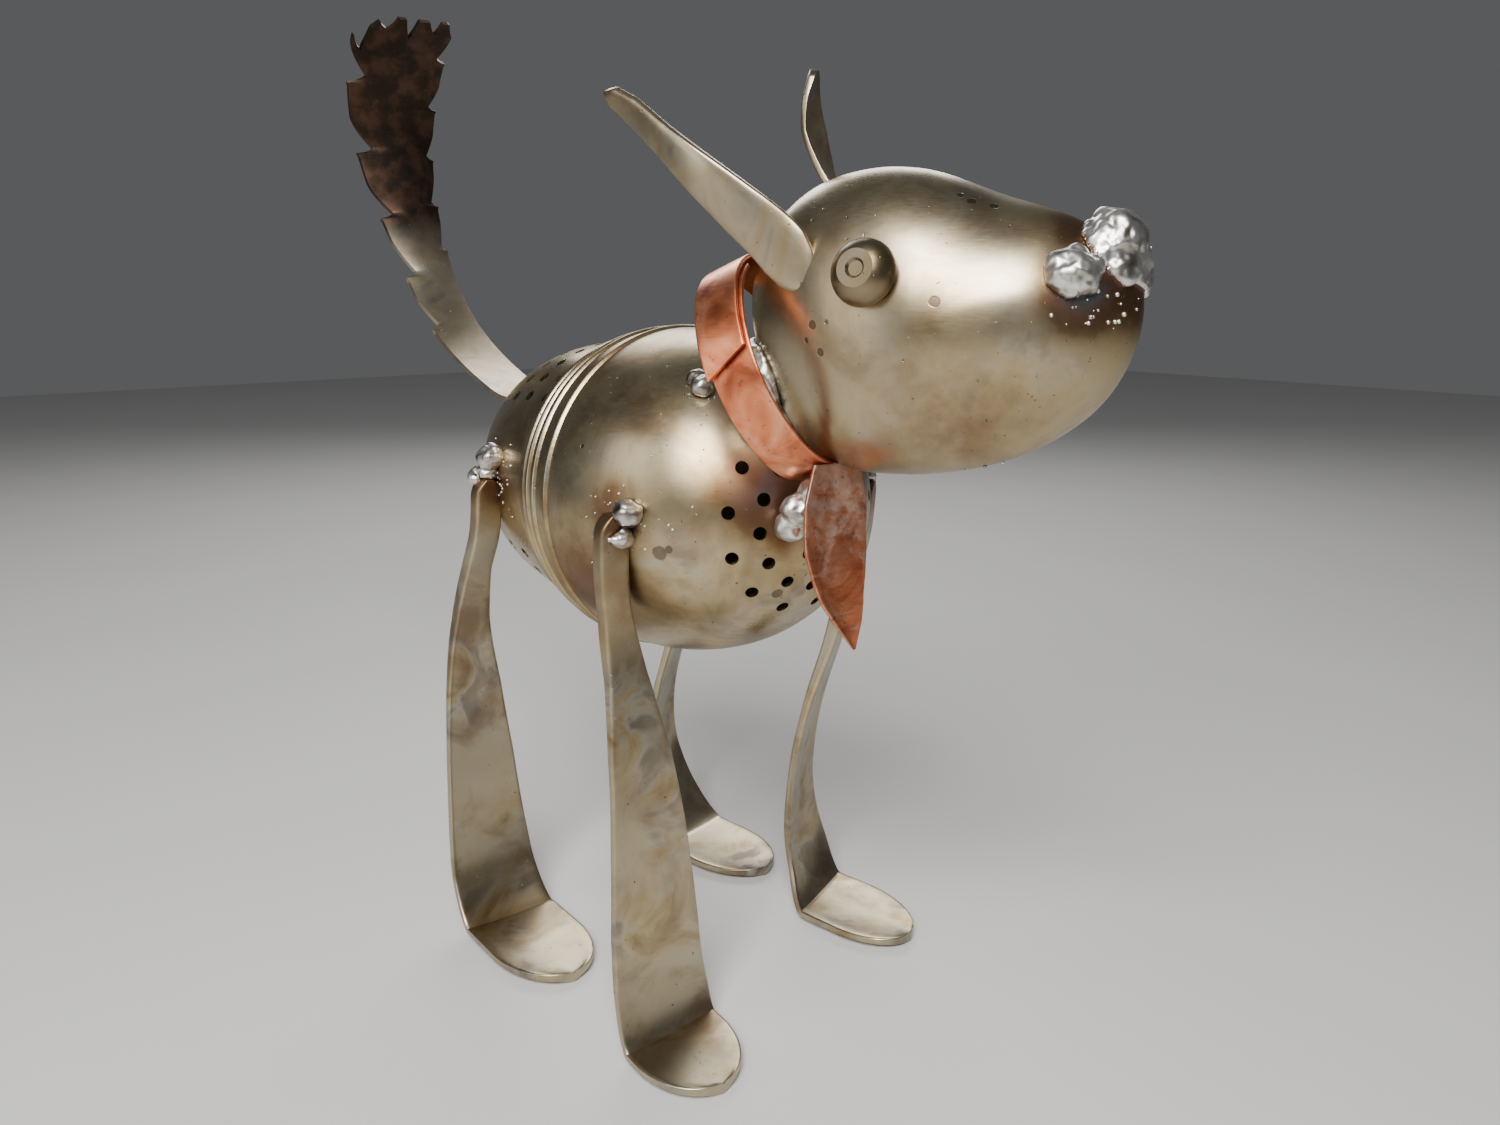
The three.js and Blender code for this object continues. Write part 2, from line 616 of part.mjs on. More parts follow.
function leafSolid(grow = 0) {
  const unit = leafLength / 100;
  const route = leafShape.map(([side, back, down]) => vec(side, back, -down).multiplyScalar(unit).add(leafTop));
  const width = through([[0, leafWidth * 0.8], [0.2, leafWidth], [0.45, leafWidth], [0.6, leafWidth * 0.88],
    [0.74, leafWidth * 0.7], [0.86, leafWidth * 0.44], [1, leafWidth * 0.06]]);
  return toSolid(strip({
    route, width, thickness: () => leafThickness, across: () => vec(0.98, -0.2, 0), steps: 13, grow,
  }));
}

// Finishes
const steel = { color: 0xb9b09a, metalness: 1, roughness: 0.3 };
const tinted = { color: 0x8f7c5e, metalness: 1, roughness: 0.34 };
const weldGrey = { color: 0x9a9a96, metalness: 1, roughness: 0.5 };
const copper = { color: 0xc8714a, metalness: 1, roughness: 0.25 };

const dog = new THREE.Group();

function addPiece(parent, name, shape, finish) {
  const geometry = shape.isBufferGeometry ? shape : toGeometry(shape);
  const mesh = new THREE.Mesh(geometry, new THREE.MeshStandardMaterial(finish));
  mesh.name = name;
  parent.add(mesh);
  return mesh;
}

// The ball is spun round its own middle and hung at its height
const ball = new THREE.Group();
ball.position.z = bodyHeight;
dog.add(ball);
addPiece(ball, 'body_front_cup', cut(frontCupSolid(), ...frontHoles()), steel);
addPiece(ball, 'body_rear_cup', cut(rearCupSolid(), ...rearHoles()), steel);

const clearOfBall = ballBlock(joinGap).translate([0, 0, bodyHeight]);

const legNames = Object.keys(legShapes);
legNames.forEach((name) => {
  addPiece(dog, name, mainBody(cut(legSolid(name), clearOfBall)), steel);
  const { hip, side, weld: [startBack, startUp, out] } = legShapes[name];
  const weld = drops(hipDrops.map(([back, up, size]) => {
    const y = hip + (startBack + back) * dropRadius;
    const radius = ballRadiusAt(y);
    const rise = ((startUp + up) * dropRadius) / ballRadius;
    const angle = side < 0 ? rise : Math.PI - rise;
    const place = vec(-Math.cos(angle) * radius, y, bodyHeight + Math.sin(angle) * radius);
    place.addScaledVector(ballNormal(y, angle), dropRadius * out);
    return [place.x, place.y, place.z, dropRadius * size];
  }));
  const clearOfLeg = legSolid(name, joinGap);
  addPiece(dog, name.replace('leg', 'weld'), mainBody(cut(weld, clearOfBall, clearOfLeg)), weldGrey);
});

addPiece(dog, 'tail', mainBody(cut(tailSolid(), clearOfBall)), tinted);

// Everything on the head sits in the head's own frame, turned to the dog's left
const head = new THREE.Group();
head.position.copy(collarPlace);
head.rotation.z = radians(neckTurn - 90);
dog.add(head);
head.updateMatrixWorld(true);
const toHead = head.matrixWorld.clone().invert();
const ballFromHead = clearOfBall.transform(toHead.elements);
const clearOfHead = headBlock(joinGap);
const headFromDog = clearOfHead.transform(head.matrixWorld.elements);
const clearOfCollar = collarSolid(joinGap);
const collarFromDog = clearOfCollar.transform(head.matrixWorld.elements);

addPiece(head, 'head_right_bowl', bowlSolid(-1), steel);
addPiece(head, 'head_left_bowl', bowlSolid(1), steel);
[['right', -1], ['left', 1]].forEach(([name, side]) => {
  const eye = addPiece(head, `eye_${name}`, eyeGeometry(), tinted);
  const [eyeX, eyeZ] = [15.7 * headUnit, 13.6 * headUnit];
  const normal = bowlNormal(eyeX, eyeZ, side);
  eye.quaternion.setFromUnitVectors(vec(0, 1, 0), normal);
  eye.position.copy(onBowl(eyeX, eyeZ, side)).addScaledVector(normal, joinGap * 2);
  addPiece(head, `ear_${name}`, mainBody(cut(earSolid(side), clearOfHead, clearOfCollar)), steel);
});

const nose = drops(noseDrops.map(([ahead, left, up, size]) => [
  ahead * headUnit, left * headUnit, up * headUnit, noseRadius * size,
]));
addPiece(head, 'nose', mainBody(cut(nose, clearOfHead)), weldGrey);

addPiece(head, 'collar', mainBody(cut(collarSolid(), ballFromHead, clearOfHead)), copper);

// Weld between the ball and the head inside the collar, mostly out of sight
const neckDrops = drops([[0.3, 0, 0], [0.52, 0.23, -0.29]].map(([back, left, up]) => {
  const place = neckAxis.clone().multiplyScalar(-back).addScaledVector(neckUp, up).multiplyScalar(collarRadius);
  return [place.x, place.y + left * collarRadius, place.z, collarRadius * 0.42];
}));
addPiece(head, 'neck_weld', mainBody(cut(neckDrops, ballFromHead, clearOfHead)), weldGrey);

// Drop of weld beside the collar, on the ball's right shoulder
const collarDropPlace = -0.64 * (bandWidth + frontDepth);
const collarDropAngle = radians(61);
const collarDropRadius = ballRadiusAt(collarDropPlace);
const collarDrops = drops([0, dropRadius].map((ahead) => [
  -Math.cos(collarDropAngle) * collarDropRadius - ahead * 0.4,
  collarDropPlace - ahead,
  bodyHeight + Math.sin(collarDropAngle) * collarDropRadius - ahead * 0.3,
  dropRadius * 0.8,
]));
addPiece(dog, 'collar_weld', mainBody(cut(collarDrops, clearOfBall, collarFromDog)), weldGrey);

addPiece(dog, 'collar_leaf', mainBody(cut(leafSolid(), headFromDog, collarFromDog)), copper);
const leafWeld = drops(leafDrops.map(([left, back, down, size]) => [
  leafTop.x + left * dropRadius,
  leafTop.y + back * dropRadius,
  leafTop.z - down * dropRadius,
  dropRadius * size,
]));
addPiece(dog, 'leaf_weld', mainBody(cut(leafWeld, clearOfBall, collarFromDog, leafSolid(joinGap))), weldGrey);

// The origin is on the table, under the middle of the dog's length and width
const box = new THREE.Box3().setFromObject(dog, true);
const middle = box.getCenter(vec(0, 0, 0));
dog.position.set(-middle.x, -middle.y, -box.min.z);

const model = new THREE.Group();
model.add(dog);
export default model;
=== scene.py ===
# %% [markdown]
# # A dog welded together from kitchen metal
# The real sculpture stands about 205 mm high. Its body is a perforated ball for tea, its legs and
# ears are spoon handles, its head is two serving spoon bowls set rim to rim, its tail is the
# toothed blade of a server, and a strip and a leaf of copper make the collar. Everything is held
# by small silver-grey welds. This script gives each of those pieces its fine shape and its metal.

# %% Load the frame
import math
import bmesh
import bpy
import numpy as np
from mathutils import Matrix, Vector


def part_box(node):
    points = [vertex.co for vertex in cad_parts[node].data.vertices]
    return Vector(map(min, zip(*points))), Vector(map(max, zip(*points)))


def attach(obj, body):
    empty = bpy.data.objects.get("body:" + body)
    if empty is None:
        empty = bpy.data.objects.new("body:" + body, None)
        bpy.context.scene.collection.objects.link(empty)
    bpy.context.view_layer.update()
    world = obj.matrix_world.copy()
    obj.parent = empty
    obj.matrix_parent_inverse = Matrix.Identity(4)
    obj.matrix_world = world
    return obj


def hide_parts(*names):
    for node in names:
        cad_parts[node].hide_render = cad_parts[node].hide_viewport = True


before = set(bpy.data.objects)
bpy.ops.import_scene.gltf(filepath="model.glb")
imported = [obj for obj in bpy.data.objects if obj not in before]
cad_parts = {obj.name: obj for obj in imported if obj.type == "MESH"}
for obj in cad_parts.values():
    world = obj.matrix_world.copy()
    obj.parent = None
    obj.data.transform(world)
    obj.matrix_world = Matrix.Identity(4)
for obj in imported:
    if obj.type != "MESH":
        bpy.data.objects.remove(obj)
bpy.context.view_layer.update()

# %% [markdown]
# ## One frame for every piece
# All shapes below are worked out in millimetres in the dog's own frame: x runs from the middle of
# the ball to the dog's left, y from the ball's seam to the tail, and z from the table up. The
# front cup tells where that frame lies, because its rear rim stands just behind the seam.

# %% The dog's own frame
MM = 0.001
RIM_BEHIND_SEAM = 1.5
JOIN_GAP = 0.3      # left between two pieces that touch
cup_low, cup_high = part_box("body_front_cup")
origin = np.array([(cup_low.x + cup_high.x) / 2, cup_high.y - RIM_BEHIND_SEAM * MM, 0])
BODY_HEIGHT = (cup_low.z + cup_high.z) / 2 / MM
print("ball's middle above the table, mm:", round(BODY_HEIGHT, 2))


def to_scene(points):
    return np.asarray(points, float) * MM + origin


def unit(vectors):
    vectors = np.asarray(vectors, float)
    return vectors / np.maximum(np.linalg.norm(vectors, axis=-1, keepdims=True), 1e-12)


def ease(value, start, end):
    """0 up to start, 1 from end on, and smooth between them."""
    share = np.clip((np.asarray(value, float) - start) / (end - start), 0, 1)
    return share * share * (3 - 2 * share)


def new_object(name, data):
    made = bpy.data.objects.new(name, data)
    bpy.context.scene.collection.objects.link(made)
    return made


# %% [markdown]
# ## Where the camera stood
# The photograph was taken from the dog's right, a little in front and slightly above. The lines of
# the table and the round seam of the ball fix the place, the way it looks and the width it sees.

# %% Camera
CAMERA_PLACE = (-134.7, -199.7, 141)
CAMERA_WAY = (0.629, 0.777)
CAMERA_DIP = math.radians(13.8)
CAMERA_SENSOR, CAMERA_LENS = 36, 27.6
camera_data = bpy.data.cameras.new("camera")
camera_data.sensor_width = CAMERA_SENSOR
camera_data.lens = CAMERA_LENS
camera_data.clip_start = 10 * MM
camera = new_object("camera", camera_data)
camera.location = Vector(to_scene(CAMERA_PLACE))
look = Vector((*(math.cos(CAMERA_DIP) * np.array(CAMERA_WAY)), -math.sin(CAMERA_DIP)))
camera.rotation_euler = look.to_track_quat("-Z", "Y").to_euler()
bpy.context.scene.camera = camera
print("the camera sees", round(math.degrees(camera_data.angle), 1), "degrees across")

# %% [markdown]
# ## Materials as sums
# A finish is a small network of nodes. Writing it as Python sums keeps it readable: `Wire` holds a
# socket, and adding or multiplying wires adds the Math node that does it. `Network.add` makes any
# other node from its type, its settings and what goes into its sockets.

# %% Wires and networks
def operator(operation, reflected=False):
    """What a sum of two wires, or of a wire and a number, adds to the network."""
    def apply(self, other):
        values = (other, self) if reflected else (self, other)
        return self.network.add("ShaderNodeMath", {"operation": operation}, values)
    return apply


class Wire:
    def __init__(self, network, socket):
        self.network = network
        self.socket = socket

    __add__ = __radd__ = operator("ADD")
    __sub__ = operator("SUBTRACT")
    __rsub__ = operator("SUBTRACT", reflected=True)
    __mul__ = __rmul__ = operator("MULTIPLY")
    __truediv__ = operator("DIVIDE")
    __rtruediv__ = operator("DIVIDE", reflected=True)

    def clamp(self):
        return self.network.add("ShaderNodeClamp", {}, [self, 0.0, 1.0])

    def step(self, start, end):
        """0 below start, 1 above end, and smooth between them."""
        return self.network.add("ShaderNodeMapRange", {"interpolation_type": "SMOOTHSTEP"},
                                {"Value": self, "From Min": start, "From Max": end})


class Network:
    """The nodes of one material or of one geometry tree."""

    def __init__(self, tree):
        self.tree = tree
        self.count = 0

    def add(self, kind, settings=None, inputs=(), output=0):
        node = self.tree.nodes.new(kind)
        self.count += 1
        node.location = (self.count * 180, 0)
        for key, value in (settings or {}).items():
            if key == "stops":
                self.set_stops(node.color_ramp, value)
            else:
                setattr(node, key, value)
        pairs = inputs.items() if isinstance(inputs, dict) else enumerate(inputs)
        for key, value in pairs:
            self.feed(node.inputs[key], value)
        return Wire(self, node.outputs[output]) if len(node.outputs) else node

    def feed(self, socket, value):
        """Puts a wire or a plain value into a socket; a colour is given without its alpha."""
        if isinstance(value, Wire):
            self.tree.links.new(value.socket, socket)
        elif socket.type == "RGBA":
            socket.default_value = (*value, 1)
        else:
            socket.default_value = value

    @staticmethod
    def set_stops(ramp, stops):
        while len(ramp.elements) < len(stops):
            ramp.elements.new(0.5)
        for element, (place, color) in zip(ramp.elements, stops):
            element.position = place
            element.color = (*color, 1)


class Finish(Network):
    """A metal: the nodes that feed one Principled shader."""

    def __init__(self, name):
        self.material = bpy.data.materials.new(name)
        self.material.use_nodes = True
        super().__init__(self.material.node_tree)
        self.tree.nodes.clear()
        self.place = self.add("ShaderNodeVectorMath", {"operation": "SCALE"}, {
            0: self.add("ShaderNodeTexCoord", output="Object"), "Scale": 1 / MM})

    def noise(self, scale, detail=3.0, where=None, roughness=0.55, distortion=0.0):
        """Noise from 0 to 1 with lumps of about 1 / scale millimetres."""
        return self.add("ShaderNodeTexNoise", {}, {
            "Vector": where or self.place, "Scale": scale, "Detail": detail,
            "Roughness": roughness, "Distortion": distortion})

    def stretched(self, scales, where=None):
        return self.add("ShaderNodeMapping", {}, {"Vector": where or self.place, "Scale": scales})

    def attribute(self, name, output="Fac"):
        return self.add("ShaderNodeAttribute", {"attribute_name": name}, {}, output)

    def mix(self, share, first, second):
        """A colour between two others."""
        return self.add("ShaderNodeMix", {"data_type": "RGBA"}, {0: share, 6: first, 7: second}, 2)

    def ramp(self, value, stops):
        return self.add("ShaderNodeValToRGB", {"stops": stops}, [value])

    def marks(self, spots):
        """1 inside any of the spots, each a place in the dog's own frame and a radius, and 0 outside."""
        total = 0.0
        ragged = 0.5 * self.noise(1.2, 3.0)
        for place, radius in spots:
            away = self.add("ShaderNodeVectorMath", {"operation": "DISTANCE"}, {
                0: self.place, 1: tuple(np.asarray(place) + np.array(origin) / MM)}, "Value")
            total = total + (1.25 - away / radius - ragged).step(0.0, 0.25)
        return total.clamp()

    def shade(self, color, roughness, height, depth):
        """The metal itself. depth is how far, in millimetres, a height of 1 stands out."""
        bump = self.add("ShaderNodeBump", {}, {"Strength": 1.0, "Distance": depth * MM, "Height": height})
        metal = self.add("ShaderNodeBsdfPrincipled", {}, {
            "Base Color": color, "Metallic": 1.0, "Roughness": roughness, "Normal": bump})
        self.add("ShaderNodeOutputMaterial", {}, {"Surface": metal})
        return self.material


# %% [markdown]
# ## Heat
# A weld leaves rings of colour in stainless steel: straw where it was warm, then bronze, then a
# blue-grey scale close to the weld. Each hot spot is a place, a reach in millimetres and a peak from
# 0 to 1. Every mesh stores how hot each of its corners was, as the attribute "scorch" that the
# finishes read.

# %% Hot spots
HOT_SPOTS = []
HEAT_FALL = 1.6     # the larger, the sharper the edge of a hot spot


def hot_spot(place, reach, peak):
    HOT_SPOTS.append((np.asarray(place, float), reach, peak))


def heat_at(points):
    heat = np.zeros(len(points))
    for place, reach, peak in HOT_SPOTS:
        distance = np.linalg.norm(points - place, axis=1)
        heat = np.maximum(heat, peak * np.exp(-(distance / reach) ** HEAT_FALL))
    return heat


# %% Finishes: steel
SILVER = (0.47, 0.44, 0.36)
STRAW = (0.44, 0.33, 0.16)
BRONZE = (0.16, 0.085, 0.035)
VIOLET = (0.16, 0.085, 0.06)
SCALE_GREY = (0.09, 0.09, 0.09)
BLUE = (0.12, 0.13, 0.145)
NEAR_BLACK = (0.028, 0.018, 0.014)
BURNT_BROWN = (0.085, 0.045, 0.03)
PIT_BROWN = (0.08, 0.055, 0.04)

# Scratches through the polish, pits and scars, each a place and a radius in millimetres
HEAD_MARKS = (((0, -82.3, 153.1), 0.6), ((0.5, -84, 152.2), 0.8), ((2.5, -86.6, 151.4), 0.7),
              ((-15.9, -67.8, 134.4), 0.8), ((-15.3, -69.1, 130.4), 0.7), ((-15.9, -66.5, 132.1), 0.5),
              ((-9, -86, 138), 0.9), ((-15.5, -70.5, 134.9), 0.4))
BALL_MARKS = (((-28.9, -21.2, 112.1), 0.5), ((-24.6, -38.7, 94.9), 1.5), ((-7, -49.6, 86.9), 1.2),
              ((-24, -40.4, 95.6), 0.9))


def steel_finish(name, warmth, patches, roughness, smoke=0.3, brushed=None, dark=None, marks=(), darkening=0.0):
    """Polished stainless steel. warmth turns it to straw, patches sets how strong its tinted patches
    are, smoke how much of it a brown haze dulls, and sooty mixes it evenly towards near-black. brushed names
    an attribute along which it was brushed, and dark one that says where it turns near-black and brown: in
    part heat tint, in part a painted dark reflection."""
    f = Finish(name)
    cloud = f.noise(0.045, 2.0)
    drift = f.noise(0.16, 4.0, distortion=0.6)
    color = f.mix(((cloud + drift * 0.5) * warmth * 1.6 - 0.25 * warmth).clamp(), SILVER, STRAW)
    haze = f.noise(0.06, 4.0, distortion=0.8, roughness=0.6)
    color = f.mix(haze.step(0.42, 0.66) * smoke, color, BRONZE)
    tint = f.ramp(f.noise(0.075, 3.0, distortion=1.2),
                  [(0.34, BRONZE), (0.44, STRAW), (0.53, SILVER), (0.62, BLUE), (0.72, VIOLET)])
    color = f.mix(f.noise(0.055, 2.0).step(0.4, 0.7) * patches, color, tint)
    heat = (f.attribute("scorch") * (0.72 + 0.56 * f.noise(0.3, 4.0))).clamp()
    burnt = f.ramp(heat, [(0.12, STRAW), (0.36, BRONZE), (0.55, VIOLET), (0.72, BLUE),
                          (0.93, SCALE_GREY)])
    color = f.mix(heat.step(0.06, 0.45) * 0.95, color, burnt)
    grain_place = f.attribute(brushed, "Vector") if brushed else f.place
    grain_scales = (0.12, 7.0, 1.0) if brushed else (0.5, 0.5, 6.0)
    grain = f.noise(1.0, 2.0, f.stretched(grain_scales, grain_place))
    rough = roughness + 0.12 * drift + 0.1 * grain + 0.22 * heat + 0.1 * haze
    pits = f.noise(1.1, 2.0).step(0.70, 0.76)
    # Where the attribute dark is high the steel turns near-black and brown: in part heat tint, in part a
    # painted dark reflection.
    if dark:
        shade = (f.attribute(dark) + 0.3 * f.noise(0.12, 3.0) - 0.15).clamp()
        color = f.mix(shade.step(0.25, 0.8) * 0.97, color,
                      f.mix(f.noise(0.2, 4.0).step(0.4, 0.65), NEAR_BLACK, BURNT_BROWN))
        rough = rough + 0.12 * shade
    if marks:
        pits = (pits + 1.4 * f.marks(marks)).clamp()
    color = f.mix(pits * 0.7, color, PIT_BROWN)
    # sooty mixes the whole metal evenly towards near-black
    if darkening:
        color = f.mix(darkening, color, NEAR_BLACK)
    height = 0.35 * drift + 0.1 * grain - 0.7 * pits
    return f.shade(color, rough.clamp(), height, 0.06)


ball_steel = steel_finish("ball_steel", 0.7, 0.4, 0.13, 0.6, marks=BALL_MARKS)
head_steel = steel_finish("head_steel", 0.55, 0.3, 0.13, 0.45, marks=HEAD_MARKS)
handle_steel = steel_finish("handle_steel", 0.5, 0.6, 0.17, 0.6, brushed="grain")
ear_steel = steel_finish("ear_steel", 0.5, 0.4, 0.18, 0.35, brushed="grain")
tail_steel = steel_finish("tail_steel", 0.4, 0.4, 0.2, brushed="grain", dark="dark")
print("nodes in the ball's steel:", len(ball_steel.node_tree.nodes))

# %% Finishes: weld and copper
WELD_COLORS = [(0.3, (0.10, 0.08, 0.065)), (0.42, (0.45, 0.42, 0.38)), (0.52, (0.78, 0.76, 0.72))]
WELD_BROWN = (0.30, 0.19, 0.10)
COPPER_COLORS = [(0.3, (0.42, 0.10, 0.045)), (0.48, (0.72, 0.235, 0.11)), (0.66, (0.90, 0.42, 0.24))]
COPPER_STAIN = (0.10, 0.035, 0.02)
SOLDER_BROWN, SOLDER_SILVER = (0.25, 0.15, 0.10), (0.68, 0.58, 0.50)


def weld_finish():
    f = Finish("weld_metal")
    lumps = f.noise(0.2, 2.0, roughness=0.5)
    color = f.ramp(lumps, WELD_COLORS)
    color = f.mix(f.noise(0.2, 2.0).step(0.55, 0.7) * 0.6, color, WELD_BROWN)
    rough = 0.24 + 0.2 * f.noise(0.5, 3.0)
    return f.shade(color, rough, f.noise(0.7, 2.0), 0.06)


def copper_finish(name, solder=False):
    """Scuffed sheet copper, mottled with silver where the attribute "solder" says so."""
    f = Finish(name)
    cloud = f.noise(0.12, 3.0, distortion=0.8)
    color = f.ramp(cloud, COPPER_COLORS)
    scuffs = f.noise(1.0, 3.0, f.stretched((0.35, 0.35, 2.4)))
    rough = 0.2 + 0.22 * f.noise(0.35, 4.0) + 0.08 * scuffs
    if solder:
        specks = f.noise(0.3, 5.0, roughness=0.75, distortion=0.5)
        patch = (0.6 * f.attribute("solder") + 2.6 * (specks - 0.5)).step(0.15, 0.55)
        color = f.mix(patch * 0.65, color, f.mix(f.noise(0.7, 3.0), SOLDER_BROWN, SOLDER_SILVER))
        rough = rough + 0.12 * patch
    color = f.mix(f.noise(0.8, 4.0).step(0.62, 0.74) * 0.6, color, COPPER_STAIN)
    return f.shade(color, rough.clamp(), 0.6 * cloud + 0.25 * scuffs, 0.1)


weld_metal = weld_finish()
collar_copper = copper_finish("collar_copper")
leaf_copper = copper_finish("leaf_copper", solder=True)
print("metals:", ", ".join(sorted(material.name for material in bpy.data.materials)))

# %% [markdown]
# ## From points to a mesh
# Most pieces are rings of points joined into a skin. `strip` bends a flat bar along a smooth route,
# as a spoon handle is bent: at each share of its length it has a width, a thickness, a direction
# across it and a dish that hollows its face.

# %% Curves and skins
def smooth_curve(chosen, closed=False, fine=48):
    """Points on a centripetal curve through the chosen ones."""
    p = np.asarray(chosen, float)
    spans = len(p) if closed else len(p) - 1
    before, after = (p[-1:], p[:2]) if closed else (2 * p[:1] - p[1:2], 2 * p[-1:] - p[-2:-1])
    padded = np.vstack([before, p, after])
    share = np.linspace(0, 1, fine, endpoint=False)[:, None]
    pieces = []
    for i in range(spans):
        a, b, c, d = padded[i:i + 4]
        gap = [max(1e-6, np.linalg.norm(v)) ** 0.5 for v in (b - a, c - b, d - c)]
        start = ((b - a) / gap[0] - (c - a) / (gap[0] + gap[1]) + (c - b) / gap[1]) * gap[1]
        end = ((c - b) / gap[1] - (d - b) / (gap[1] + gap[2]) + (d - c) / gap[2]) * gap[1]
        rise = 3 * (c - b) - 2 * start - end
        pieces.append(b + start * share + rise * share ** 2 + (2 * (b - c) + start + end) * share ** 3)
    return np.vstack([*pieces, p[:1] if closed else p[-1:]])


def walk(line, shares):
    """Points at shares of a line's length, the directions there, and the line's length."""
    gone = np.concatenate([[0], np.cumsum(np.linalg.norm(np.diff(line, axis=0), axis=1))])

    def at(share):
        return np.stack([np.interp(share * gone[-1], gone, line[:, k]) for k in range(3)], axis=1)

    shares = np.asarray(shares, float)
    nudge = 0.004
    ahead = at(np.clip(shares + nudge, 0, 1)) - at(np.clip(shares - nudge, 0, 1))
    return at(shares), unit(ahead), gone[-1]


def skin_faces(rings, count):
    """Quads between rings of count points, and a fan on a middle point at each end."""
    i = np.arange(count)
    near = (i + 1) % count
    faces = []
    for k in range(rings - 1):
        low, high = k * count, (k + 1) * count
        faces += np.stack([low + i, low + near, high + near, high + i], axis=1).tolist()
    first, last = rings * count, rings * count + 1
    top = (rings - 1) * count
    faces += np.stack([np.full(count, first), near, i], axis=1).tolist()
    faces += np.stack([np.full(count, last), top + i, top + near], axis=1).tolist()
    return faces


def skin(rings):
    """Points and faces of a closed skin over rings, with a middle point at each end."""
    rings = np.asarray(rings, float)
    points = np.vstack([rings.reshape(-1, 3), rings[0].mean(0), rings[-1].mean(0)])
    return points, skin_faces(len(rings), rings.shape[1])


def make_piece(node, slot, points, faces, material, name="", sharp=40, **attributes):
    """A piece for a node, from points in the dog's own frame, smooth but for its sharp edges."""
    mesh = bpy.data.meshes.new(name or node)
    mesh.from_pydata(to_scene(points).tolist(), [], [list(face) for face in faces])
    piece = new_object("shaped_" + (name or node), mesh)
    mesh.materials.append(material)
    for key, values in attributes.items():
        values = np.asarray(values, np.float32)
        kind, field = ("FLOAT", "value") if values.ndim == 1 else ("FLOAT_VECTOR", "vector")
        mesh.attributes.new(key, kind, "POINT").data.foreach_set(field, values.ravel())
    turn_out(mesh)
    soften(mesh, sharp)
    store_heat(mesh)
    return dress(piece, slot, node)


def corners(mesh):
    places = np.zeros(len(mesh.vertices) * 3)
    mesh.vertices.foreach_get("co", places)
    return places.reshape(-1, 3)


def turn_out(mesh):
    """Turns the faces of a closed mesh outwards when its volume comes out negative."""
    mesh.calc_loop_triangles()
    triangles = np.zeros(len(mesh.loop_triangles) * 3, int)
    mesh.loop_triangles.foreach_get("vertices", triangles)
    a, b, c = corners(mesh)[triangles.reshape(-1, 3)].transpose(1, 0, 2)
    if np.einsum("ij,ij->i", a, np.cross(b, c)).sum() < 0:
        mesh.flip_normals()


def soften(mesh, sharp):
    """Smooth shading, but for edges that turn by more degrees than sharp."""
    mesh.polygons.foreach_set("use_smooth", [True] * len(mesh.polygons))
    mesh.set_sharp_from_angle(angle=math.radians(sharp))


def store_heat(mesh):
    own = (corners(mesh) - origin) / MM
    layer = mesh.attributes.get("scorch") or mesh.attributes.new("scorch", "FLOAT", "POINT")
    layer.data.foreach_set("value", heat_at(own).astype(np.float32))


def dress(piece, slot, *nodes):
    """Puts a finished piece on the dog in place of its nodes."""
    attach(piece, "root")
    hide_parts(*nodes)
    print(piece.name, len(piece.data.polygons), "faces")
    return piece


# %% Strips
SECTION_POINTS = 36


def section(square):
    """A rounded bar's outline, from -1 to 1 both ways: the larger square is, the flatter its faces."""
    angle = np.arange(SECTION_POINTS) / SECTION_POINTS * math.tau
    reach = [np.sign(f(angle)) * np.abs(f(angle)) ** (2 / square) for f in (np.cos, np.sin)]
    return reach[0], reach[1]


def strip(route, width, thickness, across, shares, dish=None, square=6, floor=None, shift=None):
    """A flat bar along a route, with the distances along and across it for its brushed grain."""
    line, way, length = walk(smooth_curve(route), shares)
    if floor is not None:
        resting = line[:, 2] < floor + 0.03
        line[resting, 2] = floor
        way[resting, 2] = 0
        way = unit(way)
    side = unit(across(shares))
    face = unit(np.cross(way, side))
    u, v = section(square)
    wide = width(shares)[:, None] / 2
    thick = thickness(shares)[:, None] / 2
    lift = thick * v + (0 if dish is None else dish(shares)[:, None] * u ** 2)
    if shift is not None:
        lift = lift + shift(shares[:, None], u)
    rings = line[:, None] + side[:, None] * (wide * u)[..., None] + face[:, None] * lift[..., None]
    points, faces = skin(rings)
    grain = np.zeros((*rings.shape[:2], 3))
    grain[..., 0] = shares[:, None] * length
    grain[..., 1] = wide * u
    grain = np.vstack([grain.reshape(-1, 3), [0, 0, 0], [length, 0, 0]])
    return points, faces, grain


def table(pairs):
    """A value that runs straight between [share, value] pairs."""
    places, values = zip(*pairs)
    return lambda t: np.interp(t, places, values)


def close_to(ends, middle=130, extra=22):
    """Shares from 0 to 1 that crowd into the last stretch, where a tip is round."""
    tip = 1 - ends * (1 - np.sin(np.linspace(0, math.pi / 2, extra)))
    return np.unique(np.concatenate([np.linspace(0, 1 - ends, middle), tip]))


# %% [markdown]
# ## The body: a perforated ball
# The ball is two pressed cups. The front one has a straight band with four ribs at its rim, and
# the rear one slides inside it. Both are turned shapes, so a profile is spun about the ball's axis.
# The punched holes repeat by a rule, so Geometry Nodes drill them: one tree sets a drill on every
# place it is given and takes the drills out of the shell.

